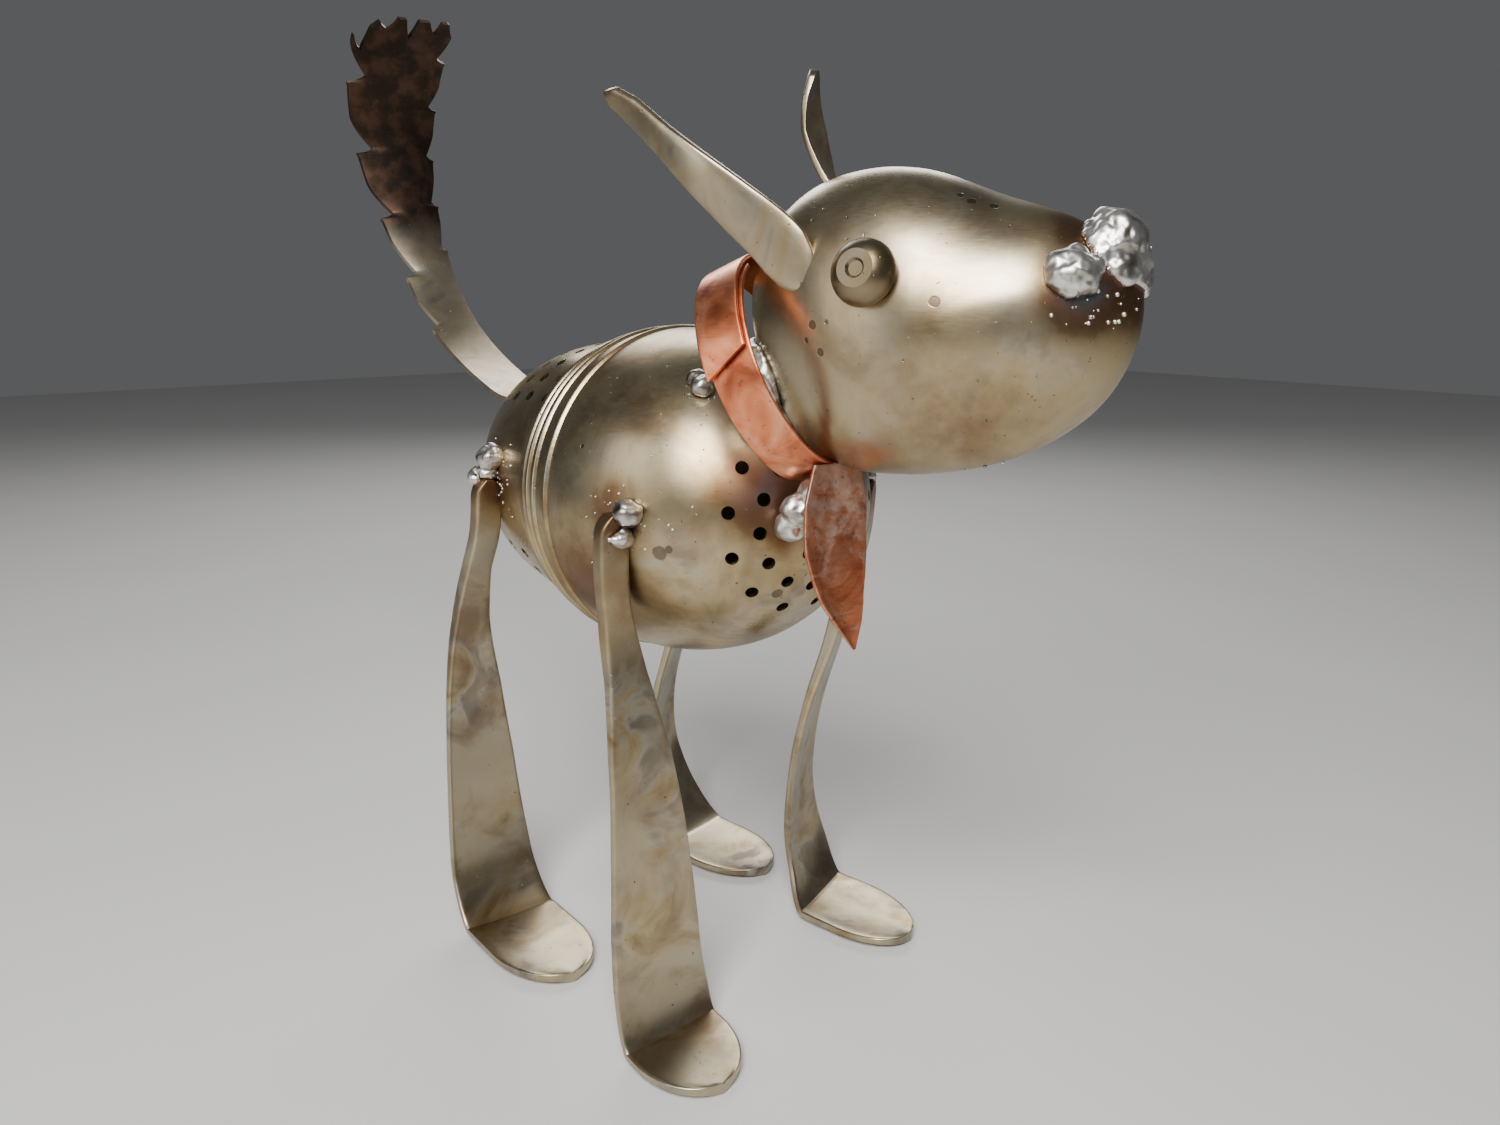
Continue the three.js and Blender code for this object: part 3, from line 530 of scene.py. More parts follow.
# %% The ball's measures
BALL_RADIUS = 32.0
BALL_WALL = 1.0
BAND_WIDTH = 13.0
BAND_TAPER = 2.0
FRONT_DEPTH = 41.4
REAR_DEPTH = 43.5
REAR_FULLNESS = 2.5
SEAM_RADIUS = BALL_RADIUS - BAND_TAPER
REAR_RADIUS = SEAM_RADIUS - BALL_WALL - JOIN_GAP
SEAM_OVERLAP = 6.0
RIB_HEIGHT = 0.55
RIB_WIDTH = 1.5
RIB_PLACES = (12.2, 7.2, 4.0, 0.6)
HOLE_RADIUS = 1.2
HOLE_SIDES = 20
DRILL_LENGTH = 5 * BALL_WALL
AROUND = 160


def ball_radius(y):
    """Outside of the ball at a place along its axis."""
    y = np.asarray(y, float)
    front = BALL_RADIUS * np.sqrt(np.maximum(0, 1 - ((y + BAND_WIDTH) / FRONT_DEPTH) ** 2))
    band = BALL_RADIUS - BAND_TAPER * (1 + y / BAND_WIDTH) ** 2
    share = np.maximum(y, 0) / REAR_DEPTH
    rear = REAR_RADIUS * np.maximum(0, 1 - share ** REAR_FULLNESS) ** (1 / REAR_FULLNESS)
    return np.where(y < -BAND_WIDTH, front, np.where(y < 0, band, rear))


def ball_out(y, angle):
    """Direction straight out of the ball; the angle is measured up from the dog's right."""
    step = 0.01
    slope = float(ball_radius(y - step) - ball_radius(y + step)) / (2 * step)
    return unit([-math.cos(angle), slope, math.sin(angle)])


def on_ball(y, angle):
    radius = ball_radius(y)
    return np.array([-math.cos(angle) * radius, y, BODY_HEIGHT + math.sin(angle) * radius])


# %% Hot spots on the ball and the head
COLLAR_PLACE = np.array([-0.22 * BALL_RADIUS, -(BAND_WIDTH + 1.03 * FRONT_DEPTH),
                         BODY_HEIGHT + 0.875 * BALL_RADIUS])
NECK_TURN = math.radians(27 - 90)
# Where each leg joins the ball: its place along the ball's axis, and -1 on the dog's right
HIPS = {"leg_front_right": (-32.5, -1), "leg_rear_right": (16, -1),
        "leg_front_left": (-35.4, 1), "leg_rear_left": (14, 1)}
HIP_HEAT = (9.5, 0.5)
# Each a place on the ball as [along, degrees up from its right side], or in the head's frame as
# [forward, left, up], then a reach and a peak
BALL_HEAT = ((35, 90, 13, 1.0), (-14, 62, 11, 0.3), (-22, -28, 15, 0.5))
HEAD_HEAT = ((47, 0, 15, 11, 0.8), (46, -9, 12, 7.5, 0.8))
# On both sides of the head: round the eyes and the ears' roots, over the jaws and the cheeks
BOTH_SIDES_HEAT = ((15.7, 15, 13.6, 6.5, 0.3), (2, 10, 15, 4.5, 0.3), (31, 18, -12, 21, 0.4),
                   (14, 22, 0, 9, 0.3))
CHEST_HEAT = ((-3, 6, -22), 12, 0.62)


def from_head(points):
    """From the head's frame, with x forward from the collar, y to the dog's left and z up."""
    x, y, z = np.moveaxis(np.asarray(points, float), -1, 0)
    c, s = math.cos(NECK_TURN), math.sin(NECK_TURN)
    return np.stack([x * c - y * s, x * s + y * c, z], axis=-1) + COLLAR_PLACE


for hip, side in HIPS.values():
    hot_spot(on_ball(hip + 1, math.radians(90 + 88 * side)), *HIP_HEAT)
for y, turned, reach, peak in BALL_HEAT:
    hot_spot(on_ball(y, math.radians(turned)), reach, peak)
for x, y, z, reach, peak in HEAD_HEAT:
    hot_spot(from_head([x, y, z]), reach, peak)
for x, outward, z, reach, peak in BOTH_SIDES_HEAT:
    for side in (-1, 1):
        hot_spot(from_head([x, side * outward, z]), reach, peak)
hot_spot(COLLAR_PLACE + CHEST_HEAT[0], *CHEST_HEAT[1:])
print("hot spots:", len(HOT_SPOTS))

# %% The shells
def quarter(girth, depth, inset, fullness=2, steps=40):
    """From a cup's tip to its rim, at a distance inside its outer face: radius and depth."""
    angle = np.linspace(0, math.pi / 2, steps + 1)
    power = 2 / fullness
    return np.stack([(girth - inset) * np.sin(angle) ** power,
                     (depth - inset) * np.maximum(0, np.cos(angle)) ** power], axis=1)


def band(steps=8):
    """The band with a rounded rib at each place, from front to rear."""
    points = []
    for place in RIB_PLACES:
        offset = np.linspace(-0.5, 0.5, steps + 1)
        rise = RIB_HEIGHT * np.cos(offset * math.pi)
        y = -place + offset * RIB_WIDTH
        points.append(np.stack([ball_radius(np.minimum(y, -0.01)) + rise, y], axis=1))
    return np.vstack(points)


def spin(profile):
    """A closed profile of [radius, y] turned about the ball's axis; ends on the axis become poles."""
    inner = profile[profile[:, 0] > 1e-6]
    angle = np.arange(AROUND) / AROUND * math.tau
    ring = np.stack([np.cos(angle), np.zeros(AROUND), np.sin(angle)], axis=1)
    rings = [radius * ring + [0, y, BODY_HEIGHT] for radius, y in inner]
    points, faces = skin(rings)
    points[-2:] = [[0, profile[0][1], BODY_HEIGHT], [0, profile[-1][1], BODY_HEIGHT]]
    return points, faces


def front_shell():
    outer = quarter(BALL_RADIUS, FRONT_DEPTH, 0)
    inner = quarter(BALL_RADIUS, FRONT_DEPTH, BALL_WALL)[::-1]
    for arc in (outer, inner):
        arc[:, 1] = -BAND_WIDTH - arc[:, 1]
    ribs = band()
    wall = SEAM_RADIUS - BALL_WALL
    rim = [[SEAM_RADIUS, RIM_BEHIND_SEAM], [wall, RIM_BEHIND_SEAM], [wall, -SEAM_OVERLAP * 1.1]]
    return spin(np.vstack([outer, ribs[ribs[:, 1] > -BAND_WIDTH + 0.02], rim, inner]))


def rear_shell():
    outer = quarter(REAR_RADIUS, REAR_DEPTH, 0, REAR_FULLNESS)
    inner = quarter(REAR_RADIUS, REAR_DEPTH, BALL_WALL, REAR_FULLNESS)[::-1]
    lip = [[REAR_RADIUS, -SEAM_OVERLAP], [REAR_RADIUS - BALL_WALL, -SEAM_OVERLAP]]
    return spin(np.vstack([outer, lip, inner]))


# %% Where the holes go
FRONT_RINGS = ((0.53, 13, 36), (0.385, 13, 22), (0.2, 6, 0))
REAR_ROWS = 4
REAR_PITCH = 7.0
REAR_STEP = 10.0
REAR_FANS = ((90, 11), (-90, 13))


def front_places():
    places = [(-BAND_WIDTH - FRONT_DEPTH + 0.001, 0.0)]
    for reach, count, turn in FRONT_RINGS:
        y = -BAND_WIDTH - FRONT_DEPTH * math.sqrt(1 - reach ** 2)
        places += [(y, math.radians(turn + i / count * 360)) for i in range(count)]
    return places


def rear_places():
    places = []
    for middle, columns in REAR_FANS:
        for row in range(REAR_ROWS):
            y = RIB_WIDTH + HOLE_RADIUS * 2 + row * REAR_PITCH
            for i in range(columns):
                places.append((y, math.radians(middle + (i - (columns - 1) / 2) * REAR_STEP)))
    return places


# %% The tree that drills
def geometry_tree(name, sockets):
    """An empty Geometry Nodes tree: its inputs are [label, kind, default], and its output geometry."""
    tree = bpy.data.node_groups.new(name, "GeometryNodeTree")
    for label, kind, value in sockets:
        socket = tree.interface.new_socket(label, in_out="INPUT", socket_type="NodeSocket" + kind)
        if value is not None:
            socket.default_value = value
    tree.interface.new_socket("Geometry", in_out="OUTPUT", socket_type="NodeSocketGeometry")
    network = Network(tree)
    entry = tree.nodes.new("NodeGroupInput")
    wires = {label: Wire(network, entry.outputs[label]) for label, _, _ in sockets}
    return network, wires


def close_tree(network, geometry, material):
    """Every tree ends in real faces with their metal on."""
    real = network.add("GeometryNodeRealizeInstances", {}, [geometry])
    done = network.add("GeometryNodeSetMaterial", {}, {"Geometry": real, "Material": material})
    network.add("NodeGroupOutput", {}, [done])
    return network.tree


def run_tree(tree, name, mesh, **values):
    """Runs a tree on a mesh in millimetres of the dog's own frame and returns a plain piece. Each
    value is an input's name, with _ for a space."""
    base = new_object(name + "_base", mesh)
    modifier = base.modifiers.new(name, "NODES")
    modifier.node_group = tree
    labels = {item.name: item.identifier for item in tree.interface.items_tree if item.in_out == "INPUT"}
    for label, value in values.items():
        modifier[labels[label.replace("_", " ")]] = value
    depsgraph = bpy.context.evaluated_depsgraph_get()
    result = bpy.data.meshes.new_from_object(base.evaluated_get(depsgraph))
    bpy.data.objects.remove(base)
    result.transform(Matrix.Translation(Vector(origin)) @ Matrix.Scale(MM, 4))
    return new_object(name, result)


def drilling_tree():
    n, given = geometry_tree("Drill holes", [
        ("Geometry", "Geometry", None), ("Places", "Object", None), ("Hole radius", "Float", 1.0),
        ("Drill length", "Float", 5.0), ("Sides", "Int", 20), ("Metal", "Material", None)])
    bit = n.add("GeometryNodeMeshCylinder", {}, {
        "Vertices": given["Sides"], "Radius": given["Hole radius"], "Depth": given["Drill length"]})
    places = n.add("GeometryNodeObjectInfo", {}, {"Object": given["Places"]}, "Geometry")
    out = n.add("GeometryNodeInputNamedAttribute", {"data_type": "FLOAT_VECTOR"}, {"Name": "out"})
    turn = n.add("FunctionNodeAlignRotationToVector", {"axis": "Z"}, {"Vector": out})
    drills = n.add("GeometryNodeInstanceOnPoints", {}, {"Points": places, "Instance": bit, "Rotation": turn})
    solid = n.add("GeometryNodeRealizeInstances", {}, [drills])
    drilled = n.add("GeometryNodeMeshBoolean", {"operation": "DIFFERENCE", "solver": "MANIFOLD"},
                    {"Mesh 1": given["Geometry"], "Mesh 2": solid})
    return close_tree(n, drilled, given["Metal"])


drill_holes = drilling_tree()

# %% The cups
SAME_SLOPE = 0.93   # a face this close to the cup's own slope isn't the wall of a hole


def point_cloud(name, points, out):
    """A mesh of loose corners that says where copies go and which way is out."""
    mesh = bpy.data.meshes.new(name)
    mesh.from_pydata(np.asarray(points).tolist(), [], [])
    mesh.attributes.new("out", "FLOAT_VECTOR", "POINT").data.foreach_set("vector", np.ravel(out))
    return new_object(name, mesh)


def true_normals(mesh, y_front, y_rear):
    """Gives each wall of a drilled cup the smooth normals of the cup it was cut from."""
    normals = []
    for face in mesh.polygons:
        for loop in face.loop_indices:
            p = (np.array(mesh.vertices[mesh.loops[loop].vertex_index].co) - origin) / MM
            y = float(np.clip(p[1], y_front, y_rear))
            out = ball_out(y, math.atan2(p[2] - BODY_HEIGHT, -p[0]))
            along = float(np.dot(out, face.normal))
            normals.append(out * np.sign(along) if abs(along) > SAME_SLOPE else np.array(face.normal))
    mesh.normals_split_custom_set(normals)


def make_cup(name, shell, places, y_front, y_rear):
    points, faces = shell
    mesh = bpy.data.meshes.new(name)
    mesh.from_pydata(points.tolist(), [], faces)
    turn_out(mesh)
    cloud = point_cloud(name + "_places", [on_ball(*place) for place in places],
                        [ball_out(*place) for place in places])
    cup = run_tree(drill_holes, "drilled_" + name, mesh, Places=cloud, Hole_radius=HOLE_RADIUS,
                   Drill_length=DRILL_LENGTH, Sides=HOLE_SIDES, Metal=ball_steel)
    bpy.data.objects.remove(cloud)
    soften(cup.data, 30)
    true_normals(cup.data, y_front, y_rear)
    store_heat(cup.data)
    return dress(cup, "steel", name)


make_cup("body_front_cup", front_shell(), front_places(), -BAND_WIDTH - FRONT_DEPTH, -BAND_WIDTH)
make_cup("body_rear_cup", rear_shell(), rear_places(), 0.01, REAR_DEPTH)

# %% [markdown]
# ## Legs: four spoon handles
# A handle is narrow and thick where the spoon's bowl was cut off, and wide, thin and slightly dished
# at its end. The narrow end is welded to the ball, and the wide end is bent forward into a paw.

# %% Legs
NECK_WIDTH, PAW_WIDTH = 6.0, 21.0
NECK_THICKNESS, PAW_THICKNESS = 3.4, 2.0
# Each leg: directions across it at the shin and the paw, its middle line as [away from the hip's
# side, back, up] in hundredths of the ball's height, and its sole from heel to toe.
LEGS = {
    "leg_front_right": ((1, 0.02, 0), (1, 0.05, 0),
                        ((1.8, -30.2, 80), (2.8, -32, 68), (3.6, -34.4, 52), (4, -35.6, 36), (4.2, -36.2, 22),
                         (4.3, -37.2, 11)), (-26.2, -41.5, -27.2, -59.5)),
    "leg_rear_right": ((1, 0.05, 0), (1, -0.03, 0),
                       ((-0.1, 23.5, 80), (-0.1, 28, 66), (-0.1, 28.2, 50), (-0.2, 27, 35), (-0.4, 25, 19),
                        (-0.6, 22, 9)), (-30.2, 15.5, -30.6, -13.4)),
    "leg_front_left": ((0.84, 0.54, 0), (0.93, 0.37, 0),
                       ((-0.2, -30.4, 80), (-0.6, -25.6, 66), (-1.2, -18.6, 50), (-2, -13.6, 35),
                        (-2.8, -11.8, 19), (-3.4, -14, 9)), (30.6, -21, 34.6, -46.6)),
    "leg_rear_left": ((0.8, 0.6, 0), (0.985, 0.17, 0),
                      ((-0.5, 22, 80), (-1, 30, 64), (-0.4, 36.5, 48), (0.8, 40.5, 34), (3, 38.5, 19),
                       (4.6, 31, 8)), (25.6, 22, 28.6, -4.4)),
}
handle_width = table([(0, NECK_WIDTH), (0.16, NECK_WIDTH), (0.26, NECK_WIDTH * 1.4), (0.38, PAW_WIDTH * 0.62),
                      (0.5, PAW_WIDTH * 0.77), (0.66, PAW_WIDTH * 0.92), (0.8, PAW_WIDTH), (1, PAW_WIDTH)])
handle_thickness = table([(0, NECK_THICKNESS), (0.2, NECK_THICKNESS), (0.45, PAW_THICKNESS),
                          (1, PAW_THICKNESS)])
handle_dish = table([(0, 0), (0.25, 0.1), (0.5, 0.7), (0.8, 0.9), (1, 0.7)])
TIP, CROWN = 0.12, 0.03     # shares of a handle's length in which its two ends are rounded


def handle_outline(t):
    tip = np.sqrt(np.maximum(0.003, 1 - np.maximum(0, (t - 1 + TIP) / TIP) ** 2))
    crown = np.sqrt(np.maximum(0.1, 1 - np.maximum(0, 1 - t / CROWN) ** 2))
    return handle_width(t) * tip * crown


def make_leg(name):
    shin, paw, shape, sole = LEGS[name]
    hip, side = HIPS[name]
    scale = BODY_HEIGHT / 100
    hip_x = side * (float(ball_radius(hip)) + JOIN_GAP + NECK_THICKNESS / 2)
    floor = PAW_THICKNESS / 2
    bends = [(hip_x - side * out * scale, back * scale, up * scale) for out, back, up in shape]
    top = [(hip_x, hip, BODY_HEIGHT * 1.015), (hip_x, hip + 0.3 * (bends[0][1] - hip), BODY_HEIGHT * 0.9)]
    ground = [(sole[0] + (sole[2] - sole[0]) * t, sole[1] + (sole[3] - sole[1]) * t, floor)
              for t in (0, 0.34, 0.67, 1)]
    turn = lambda t: np.array(shin) + (np.array(paw) - shin) * ease(t, 0.55, 0.85)[:, None]
    points, faces, grain = strip([*top, *bends, *ground], handle_outline, handle_thickness, turn,
                                 close_to(TIP), handle_dish, floor=floor)
    return make_piece(name, "steel", points, faces, handle_steel, grain=grain)


for leg in LEGS:
    make_leg(leg)

# %% [markdown]
# ## Tail: a toothed blade
# The tail is one thin blade, bent up and hooked forward at its top. Its edges carry barbs like a
# saw's, and its end is a row of sharp teeth. It is a sheet of points: the width on each side and
# the end of the blade are rules with sudden drops in them, and the sheet is then given its
# thickness.

# %% Tail
TAIL_LENGTH, TAIL_ROOT, TAIL_TOP, TAIL_THICKNESS = 103.0, 13.0, 25.0, 1.2
TOOTH_PITCH, TOOTH_DEPTH = 17.0, 4.2
TAIL_LINE = ((0, 0, 0), (0, 11, -1.5), (0, 22.3, 1.2), (-1, 35.7, 7.5), (-2, 44.6, 14), (-3, 53.1, 24),
             (-4, 59.6, 36), (-5, 64.6, 49), (-5.6, 66.1, 62), (-5.8, 62.1, 75), (-6, 52.1, 86.5))
ROOT_UP = 15.0
BARBED_SHARE = 0.68         # of the blade, from its top down
LEFT_PITCH_SHARE = 0.74
BITE = 0.16                 # share of a barb in which its cut reaches full depth
BLADE_ROWS, BLADE_COLUMNS = 460, 90


def barbs(length, s, start, pitch, deepest):
    """How deep an edge is cut at a distance s: a round bite above each barb fades out upwards."""
    cut = np.zeros_like(s)
    count = int(length * BARBED_SHARE / TOOTH_PITCH)
    for i in range(count):
        gone = (s - length + (i + start) * pitch) / (pitch * (0.6 + 0.1 * math.sin(5 * i)))
        fading = np.clip(1 - (gone - BITE) / (1 - BITE), 0, 1) ** 1.5
        bite = np.clip(gone / BITE, 0, 1) ** 0.5 * fading
        hook = 0.3 * np.clip(1 + gone / 0.12, 0, 1) * (gone < 0)
        depth = deepest * (1 - 0.5 * i / count) * (1 + 0.12 * math.sin(7 * i + 1))
        cut = np.where((gone >= 0) & (gone < 1), np.maximum(cut, depth * bite), cut)
        cut = cut - hook * (gone > -0.12)
    return cut


def crown_cut(u):
    """How far the blade's end is cut back across it: ragged teeth, lower towards the right side."""
    saw = (u * 2.1 + 0.28 + 0.06 * np.sin(9 * u)) % 1
    gap = np.clip(1 - np.abs(saw - 0.5) / 0.3, 0, 1) ** 0.7
    return TOOTH_DEPTH * gap * (1 + 0.2 * np.sin(6 * u + 1)) + 6.5 * ease(-u, 0.35, 1.0)


def make_tail():
    """The front and the back face of the blade, and each row's share of its length."""
    root_y = REAR_DEPTH * (1 - (ROOT_UP / REAR_RADIUS) ** REAR_FULLNESS) ** (1 / REAR_FULLNESS)
    root_y += 2 * JOIN_GAP
    route = np.array(TAIL_LINE) * TAIL_LENGTH / 100 + [0, root_y, BODY_HEIGHT + ROOT_UP]
    line = smooth_curve(route)
    length = walk(line, [0.0])[2]
    share = np.linspace(0, 1, BLADE_ROWS)
    u = np.linspace(-1, 1, BLADE_COLUMNS)
    half = (TAIL_ROOT + (TAIL_TOP - TAIL_ROOT) * ease(share, 0.45, 0.95)) / 2
    cut_back = crown_cut(u)
    way = walk(line, share)[1]
    side = np.array([1.0, 0, 0])
    face = unit(np.cross(way, side))
    points = np.zeros((BLADE_ROWS, BLADE_COLUMNS, 3))
    for k in range(BLADE_COLUMNS):
        reach = share * (1 - ease(share, 0.86, 1.0) * cut_back[k] / length)
        at = walk(line, reach)[0]
        right = half - barbs(length, reach * length, 1.1, TOOTH_PITCH, TOOTH_DEPTH)
        left = half - barbs(length, reach * length, 0.9, TOOTH_PITCH * LEFT_PITCH_SHARE, TOOTH_DEPTH / 2)
        edge = np.where(u[k] < 0, right, left) * u[k]
        hollow = 0.9 * ease(share, 0.2, 0.7) * (u[k] ** 2 - 0.5)
        points[:, k] = at + side * edge[:, None] + face * hollow[:, None]
    half_wall = face[:, None] * TAIL_THICKNESS / 2
    return points + half_wall, points - half_wall, share


def sheet_solid(front, back):
    """Closes two matching sheets of points into one solid."""
    rows, columns = front.shape[:2]
    index = np.arange(rows * columns).reshape(rows, columns)
    quad = np.stack([index[:-1, :-1], index[1:, :-1], index[1:, 1:], index[:-1, 1:]], axis=-1)
    quad = quad.reshape(-1, 4)
    faces = quad.tolist() + (quad[:, ::-1] + rows * columns).tolist()
    loop = np.concatenate([index[0, :-1], index[:-1, -1], index[-1, :0:-1], index[:0:-1, 0]])
    after = np.roll(loop, -1)
    faces += np.stack([loop, after, after + rows * columns, loop + rows * columns], axis=1).tolist()
    return np.vstack([front.reshape(-1, 3), back.reshape(-1, 3)]), faces


tail_front, tail_back, tail_share = make_tail()
tail_points, tail_faces = sheet_solid(tail_front, tail_back)
corner_share = np.tile(np.repeat(tail_share, BLADE_COLUMNS), 2)
tail_grain = np.zeros((len(tail_points), 3))
tail_grain[:, 0] = corner_share * 120
tail_grain[:, 1] = tail_points[:, 0]
# The blade is painted darker towards its top: in part heat tint, in part a painted dark reflection along its
# bend.
make_piece("tail", "tinted_steel", tail_points, tail_faces, tail_steel,
           dark=ease(corner_share, 0.4, 0.72), grain=tail_grain)

# %% [markdown]
# ## Head: two spoon bowls, rim to rim
# Seen from the side, the rim of a serving spoon's bowl gives the head its outline, from the neck
# over the brow to the nose and back along the jaw. Each bowl swells out from that rim by half the
# width of the head. Both are closed shells with a true wall.

# %% Head
HEAD_LENGTH = 64.0
HEAD_UNIT = HEAD_LENGTH / 64
HEAD_HALF_WIDTH = 16.0
BOWL_WALL = 1.2
HEAD_MIDDLE = np.array([22.5, 6.0])
HEAD_RIM = ((-8.6, 8), (-6, 19.5), (1, 26.6), (10, 29.6), (20, 29.4), (32, 25.4), (44, 21.2), (51.5, 15.5),
            (53, 6), (48.5, -4.8), (37, -13.4), (19, -17.6), (4, -15.6), (-4.6, -4.6))
BOWL_AROUND = 168
BOWL_FULLNESS = 0.6
RIM_GAP = 0.04              # half of the seam between the bowls
rim_line = smooth_curve([(x, 0, z) for x, z in HEAD_RIM], closed=True)
rim_ring = walk(rim_line, np.arange(BOWL_AROUND) / BOWL_AROUND)[0][:, [0, 2]]


def bowl_point(rim, share, side, inset=0.0):
    """A point of a bowl in the head's frame: share 0 is the middle of its side and 1 is the rim."""
    dome = np.maximum(0, 1 - share ** 2) ** BOWL_FULLNESS
    flat = (rim - HEAD_MIDDLE) * HEAD_UNIT
    reach = 1 - inset / np.linalg.norm(flat, axis=-1, keepdims=True)
    flat = flat * reach * share + HEAD_MIDDLE * HEAD_UNIT
    y = side * (RIM_GAP + dome * (HEAD_HALF_WIDTH - RIM_GAP - inset))
    return np.stack([flat[..., 0], np.broadcast_to(y, flat[..., 0].shape), flat[..., 1]], axis=-1)


def make_bowl(name, side):
    rings = []
    for inset, steps in ((0.0, 44), (BOWL_WALL, 14)):
        shares = np.sin(np.linspace(0.02, math.pi / 2, steps))
        shell = [bowl_point(rim_ring, share, side, inset) for share in shares]
        rings += shell if inset == 0 else shell[::-1]
    points, faces = skin(rings)
    middle = HEAD_MIDDLE * HEAD_UNIT
    points[-2] = [middle[0], side * HEAD_HALF_WIDTH, middle[1]]
    points[-1] = [middle[0], side * (HEAD_HALF_WIDTH - BOWL_WALL), middle[1]]
    return make_piece(name, "steel", from_head(points), faces, head_steel)


def on_bowl(x, z, side):
    """Outside of a bowl over a place on the side of the head."""
    way = np.array([x, z]) / HEAD_UNIT - HEAD_MIDDLE
    spokes = rim_ring - HEAD_MIDDLE
    nearest = (unit(spokes) @ unit(way)).argmax()
    share = np.linalg.norm(way) / np.linalg.norm(spokes[nearest])
    return bowl_point(rim_ring[nearest], share, side)


def bowl_out(x, z, side, step=1.0):
    ahead = on_bowl(x + step, z, side) - on_bowl(x - step, z, side)
    above = on_bowl(x, z + step, side) - on_bowl(x, z - step, side)
    return unit(-side * np.cross(ahead, above))


make_bowl("head_right_bowl", -1)
make_bowl("head_left_bowl", 1)

# %% [markdown]
# ## Eyes: two filed rivets
# An eye is a round-headed rivet with a flat filed on its top and a small dimple in the flat. Its
# profile is spun about the line straight out of the bowl.

# %% Eyes
EYE_RADIUS, EYE_HEIGHT, EYE_FLAT, EYE_EDGE = 5.0, 4.4, 2.8, 0.9
EYE_DIMPLE, DIMPLE_DEPTH, EYE_LIFT = 1.1, 0.45, 0.2
EYE_AROUND = 56
EYE_PLACE = (15.7 * HEAD_UNIT, 13.6 * HEAD_UNIT)


def make_eye(name, side):
    flat_angle = math.acos(EYE_FLAT / EYE_RADIUS)
    angle = np.linspace(0, flat_angle, 16)
    dome = np.stack([EYE_RADIUS * np.cos(angle),
                     EYE_EDGE + (EYE_HEIGHT - EYE_EDGE) * np.sin(angle) / math.sin(flat_angle)], axis=1)
    dimple = [[EYE_DIMPLE * 1.35, EYE_HEIGHT], [EYE_DIMPLE, EYE_HEIGHT - DIMPLE_DEPTH]]
    profile = np.vstack([[[EYE_RADIUS * 0.9, 0]], dome, dimple])
    around = np.arange(EYE_AROUND) / EYE_AROUND * math.tau
    circle = np.stack([np.cos(around), np.sin(around), np.zeros(EYE_AROUND)], axis=1)
    rings = [radius * circle + [0, 0, height] for radius, height in profile]
    points, faces = skin(rings)
    out = bowl_out(*EYE_PLACE, side)
    turn = np.array(Vector((0, 0, 1)).rotation_difference(Vector(out)).to_matrix())
    points = points @ turn.T + on_bowl(*EYE_PLACE, side) + out * EYE_LIFT
    return make_piece(name, "tinted_steel", from_head(points), faces, eye_steel, sharp=28)


# The eyes' steel is mixed half way towards near-black.
eye_steel = steel_finish("eye_steel", 0.6, 0.5, 0.14, 0.5, darkening=0.5)
make_eye("eye_right", -1)
make_eye("eye_left", 1)

# %% [markdown]
# ## Ears: two thin handles
# Each ear is a narrow spoon handle with a rounded lobe at its root, welded to the side of a bowl.
# The right one points back, and the left one stands up and turns its edge to the viewer.

# %% Ears
EAR_LENGTH, EAR_ROOT_WIDTH, EAR_TIP_WIDTH, EAR_THICKNESS = 44.0, 8.8, 4.4, 1.4
EAR_ROOT = (3 * HEAD_UNIT, 16.5 * HEAD_UNIT)
EAR_DISH = 0.4
FLAT = (0.72, 0, 0.69)      # across an ear where it lies flat on its bowl
# Each ear: its side, its line as [forward, outward, up] in hundredths of its length, and the
# directions across it as [share, direction].
EARS = {
    "ear_right": (-1, ((6, 0, -10), (-5, 2, 4), (-20, 5, 17), (-35, 6, 29), (-50, 3, 40.5), (-63, -1, 50),
                       (-74, -3, 57)), ((0.2, FLAT), (0.9, (0.55, -0.62, 0.56)))),
    "ear_left": (1, ((4, 0, -7), (0, 5, 8), (-7, 11, 21), (-14, 15, 34), (-19, 17, 47), (-21, 18, 60),
                     (-20, 19, 71.5)), ((0.1, FLAT), (0.4, (-0.3, 0.95, 0)), (0.72, (0.42, 0.9, 0)),
                                        (1, (-0.2, 0.95, 0)))),
}
ear_width = table([(0, EAR_ROOT_WIDTH * 0.3), (0.02, EAR_ROOT_WIDTH * 0.62), (0.06, EAR_ROOT_WIDTH * 0.86),
                   (0.13, EAR_ROOT_WIDTH), (0.3, EAR_ROOT_WIDTH * 0.92), (0.5, EAR_ROOT_WIDTH * 0.78),
                   (0.7, EAR_ROOT_WIDTH * 0.62), (0.88, EAR_TIP_WIDTH * 1.2), (0.97, EAR_TIP_WIDTH * 0.9),
                   (1, EAR_TIP_WIDTH * 0.3)])


def make_ear(name):
    side, shape, turns = EARS[name]
    base = on_bowl(*EAR_ROOT, side) + bowl_out(*EAR_ROOT, side) * (JOIN_GAP + EAR_THICKNESS / 2)
    route = np.array([(x, side * y, z) for x, y, z in shape]) * EAR_LENGTH / 100 + base
    places, ways = [share for share, _ in turns], np.array([way for _, way in turns])
    across = lambda t: np.stack([np.interp(t, places, ways[:, k]) for k in range(3)], axis=1)
    points, faces, grain = strip(route, ear_width, lambda t: np.full(len(t), EAR_THICKNESS), across,
                                 np.linspace(0, 1, 110), lambda t: np.full(len(t), -side * EAR_DISH))
    return make_piece(name, "steel", from_head(points), faces, ear_steel, grain=grain)


for ear in EARS:
    make_ear(ear)

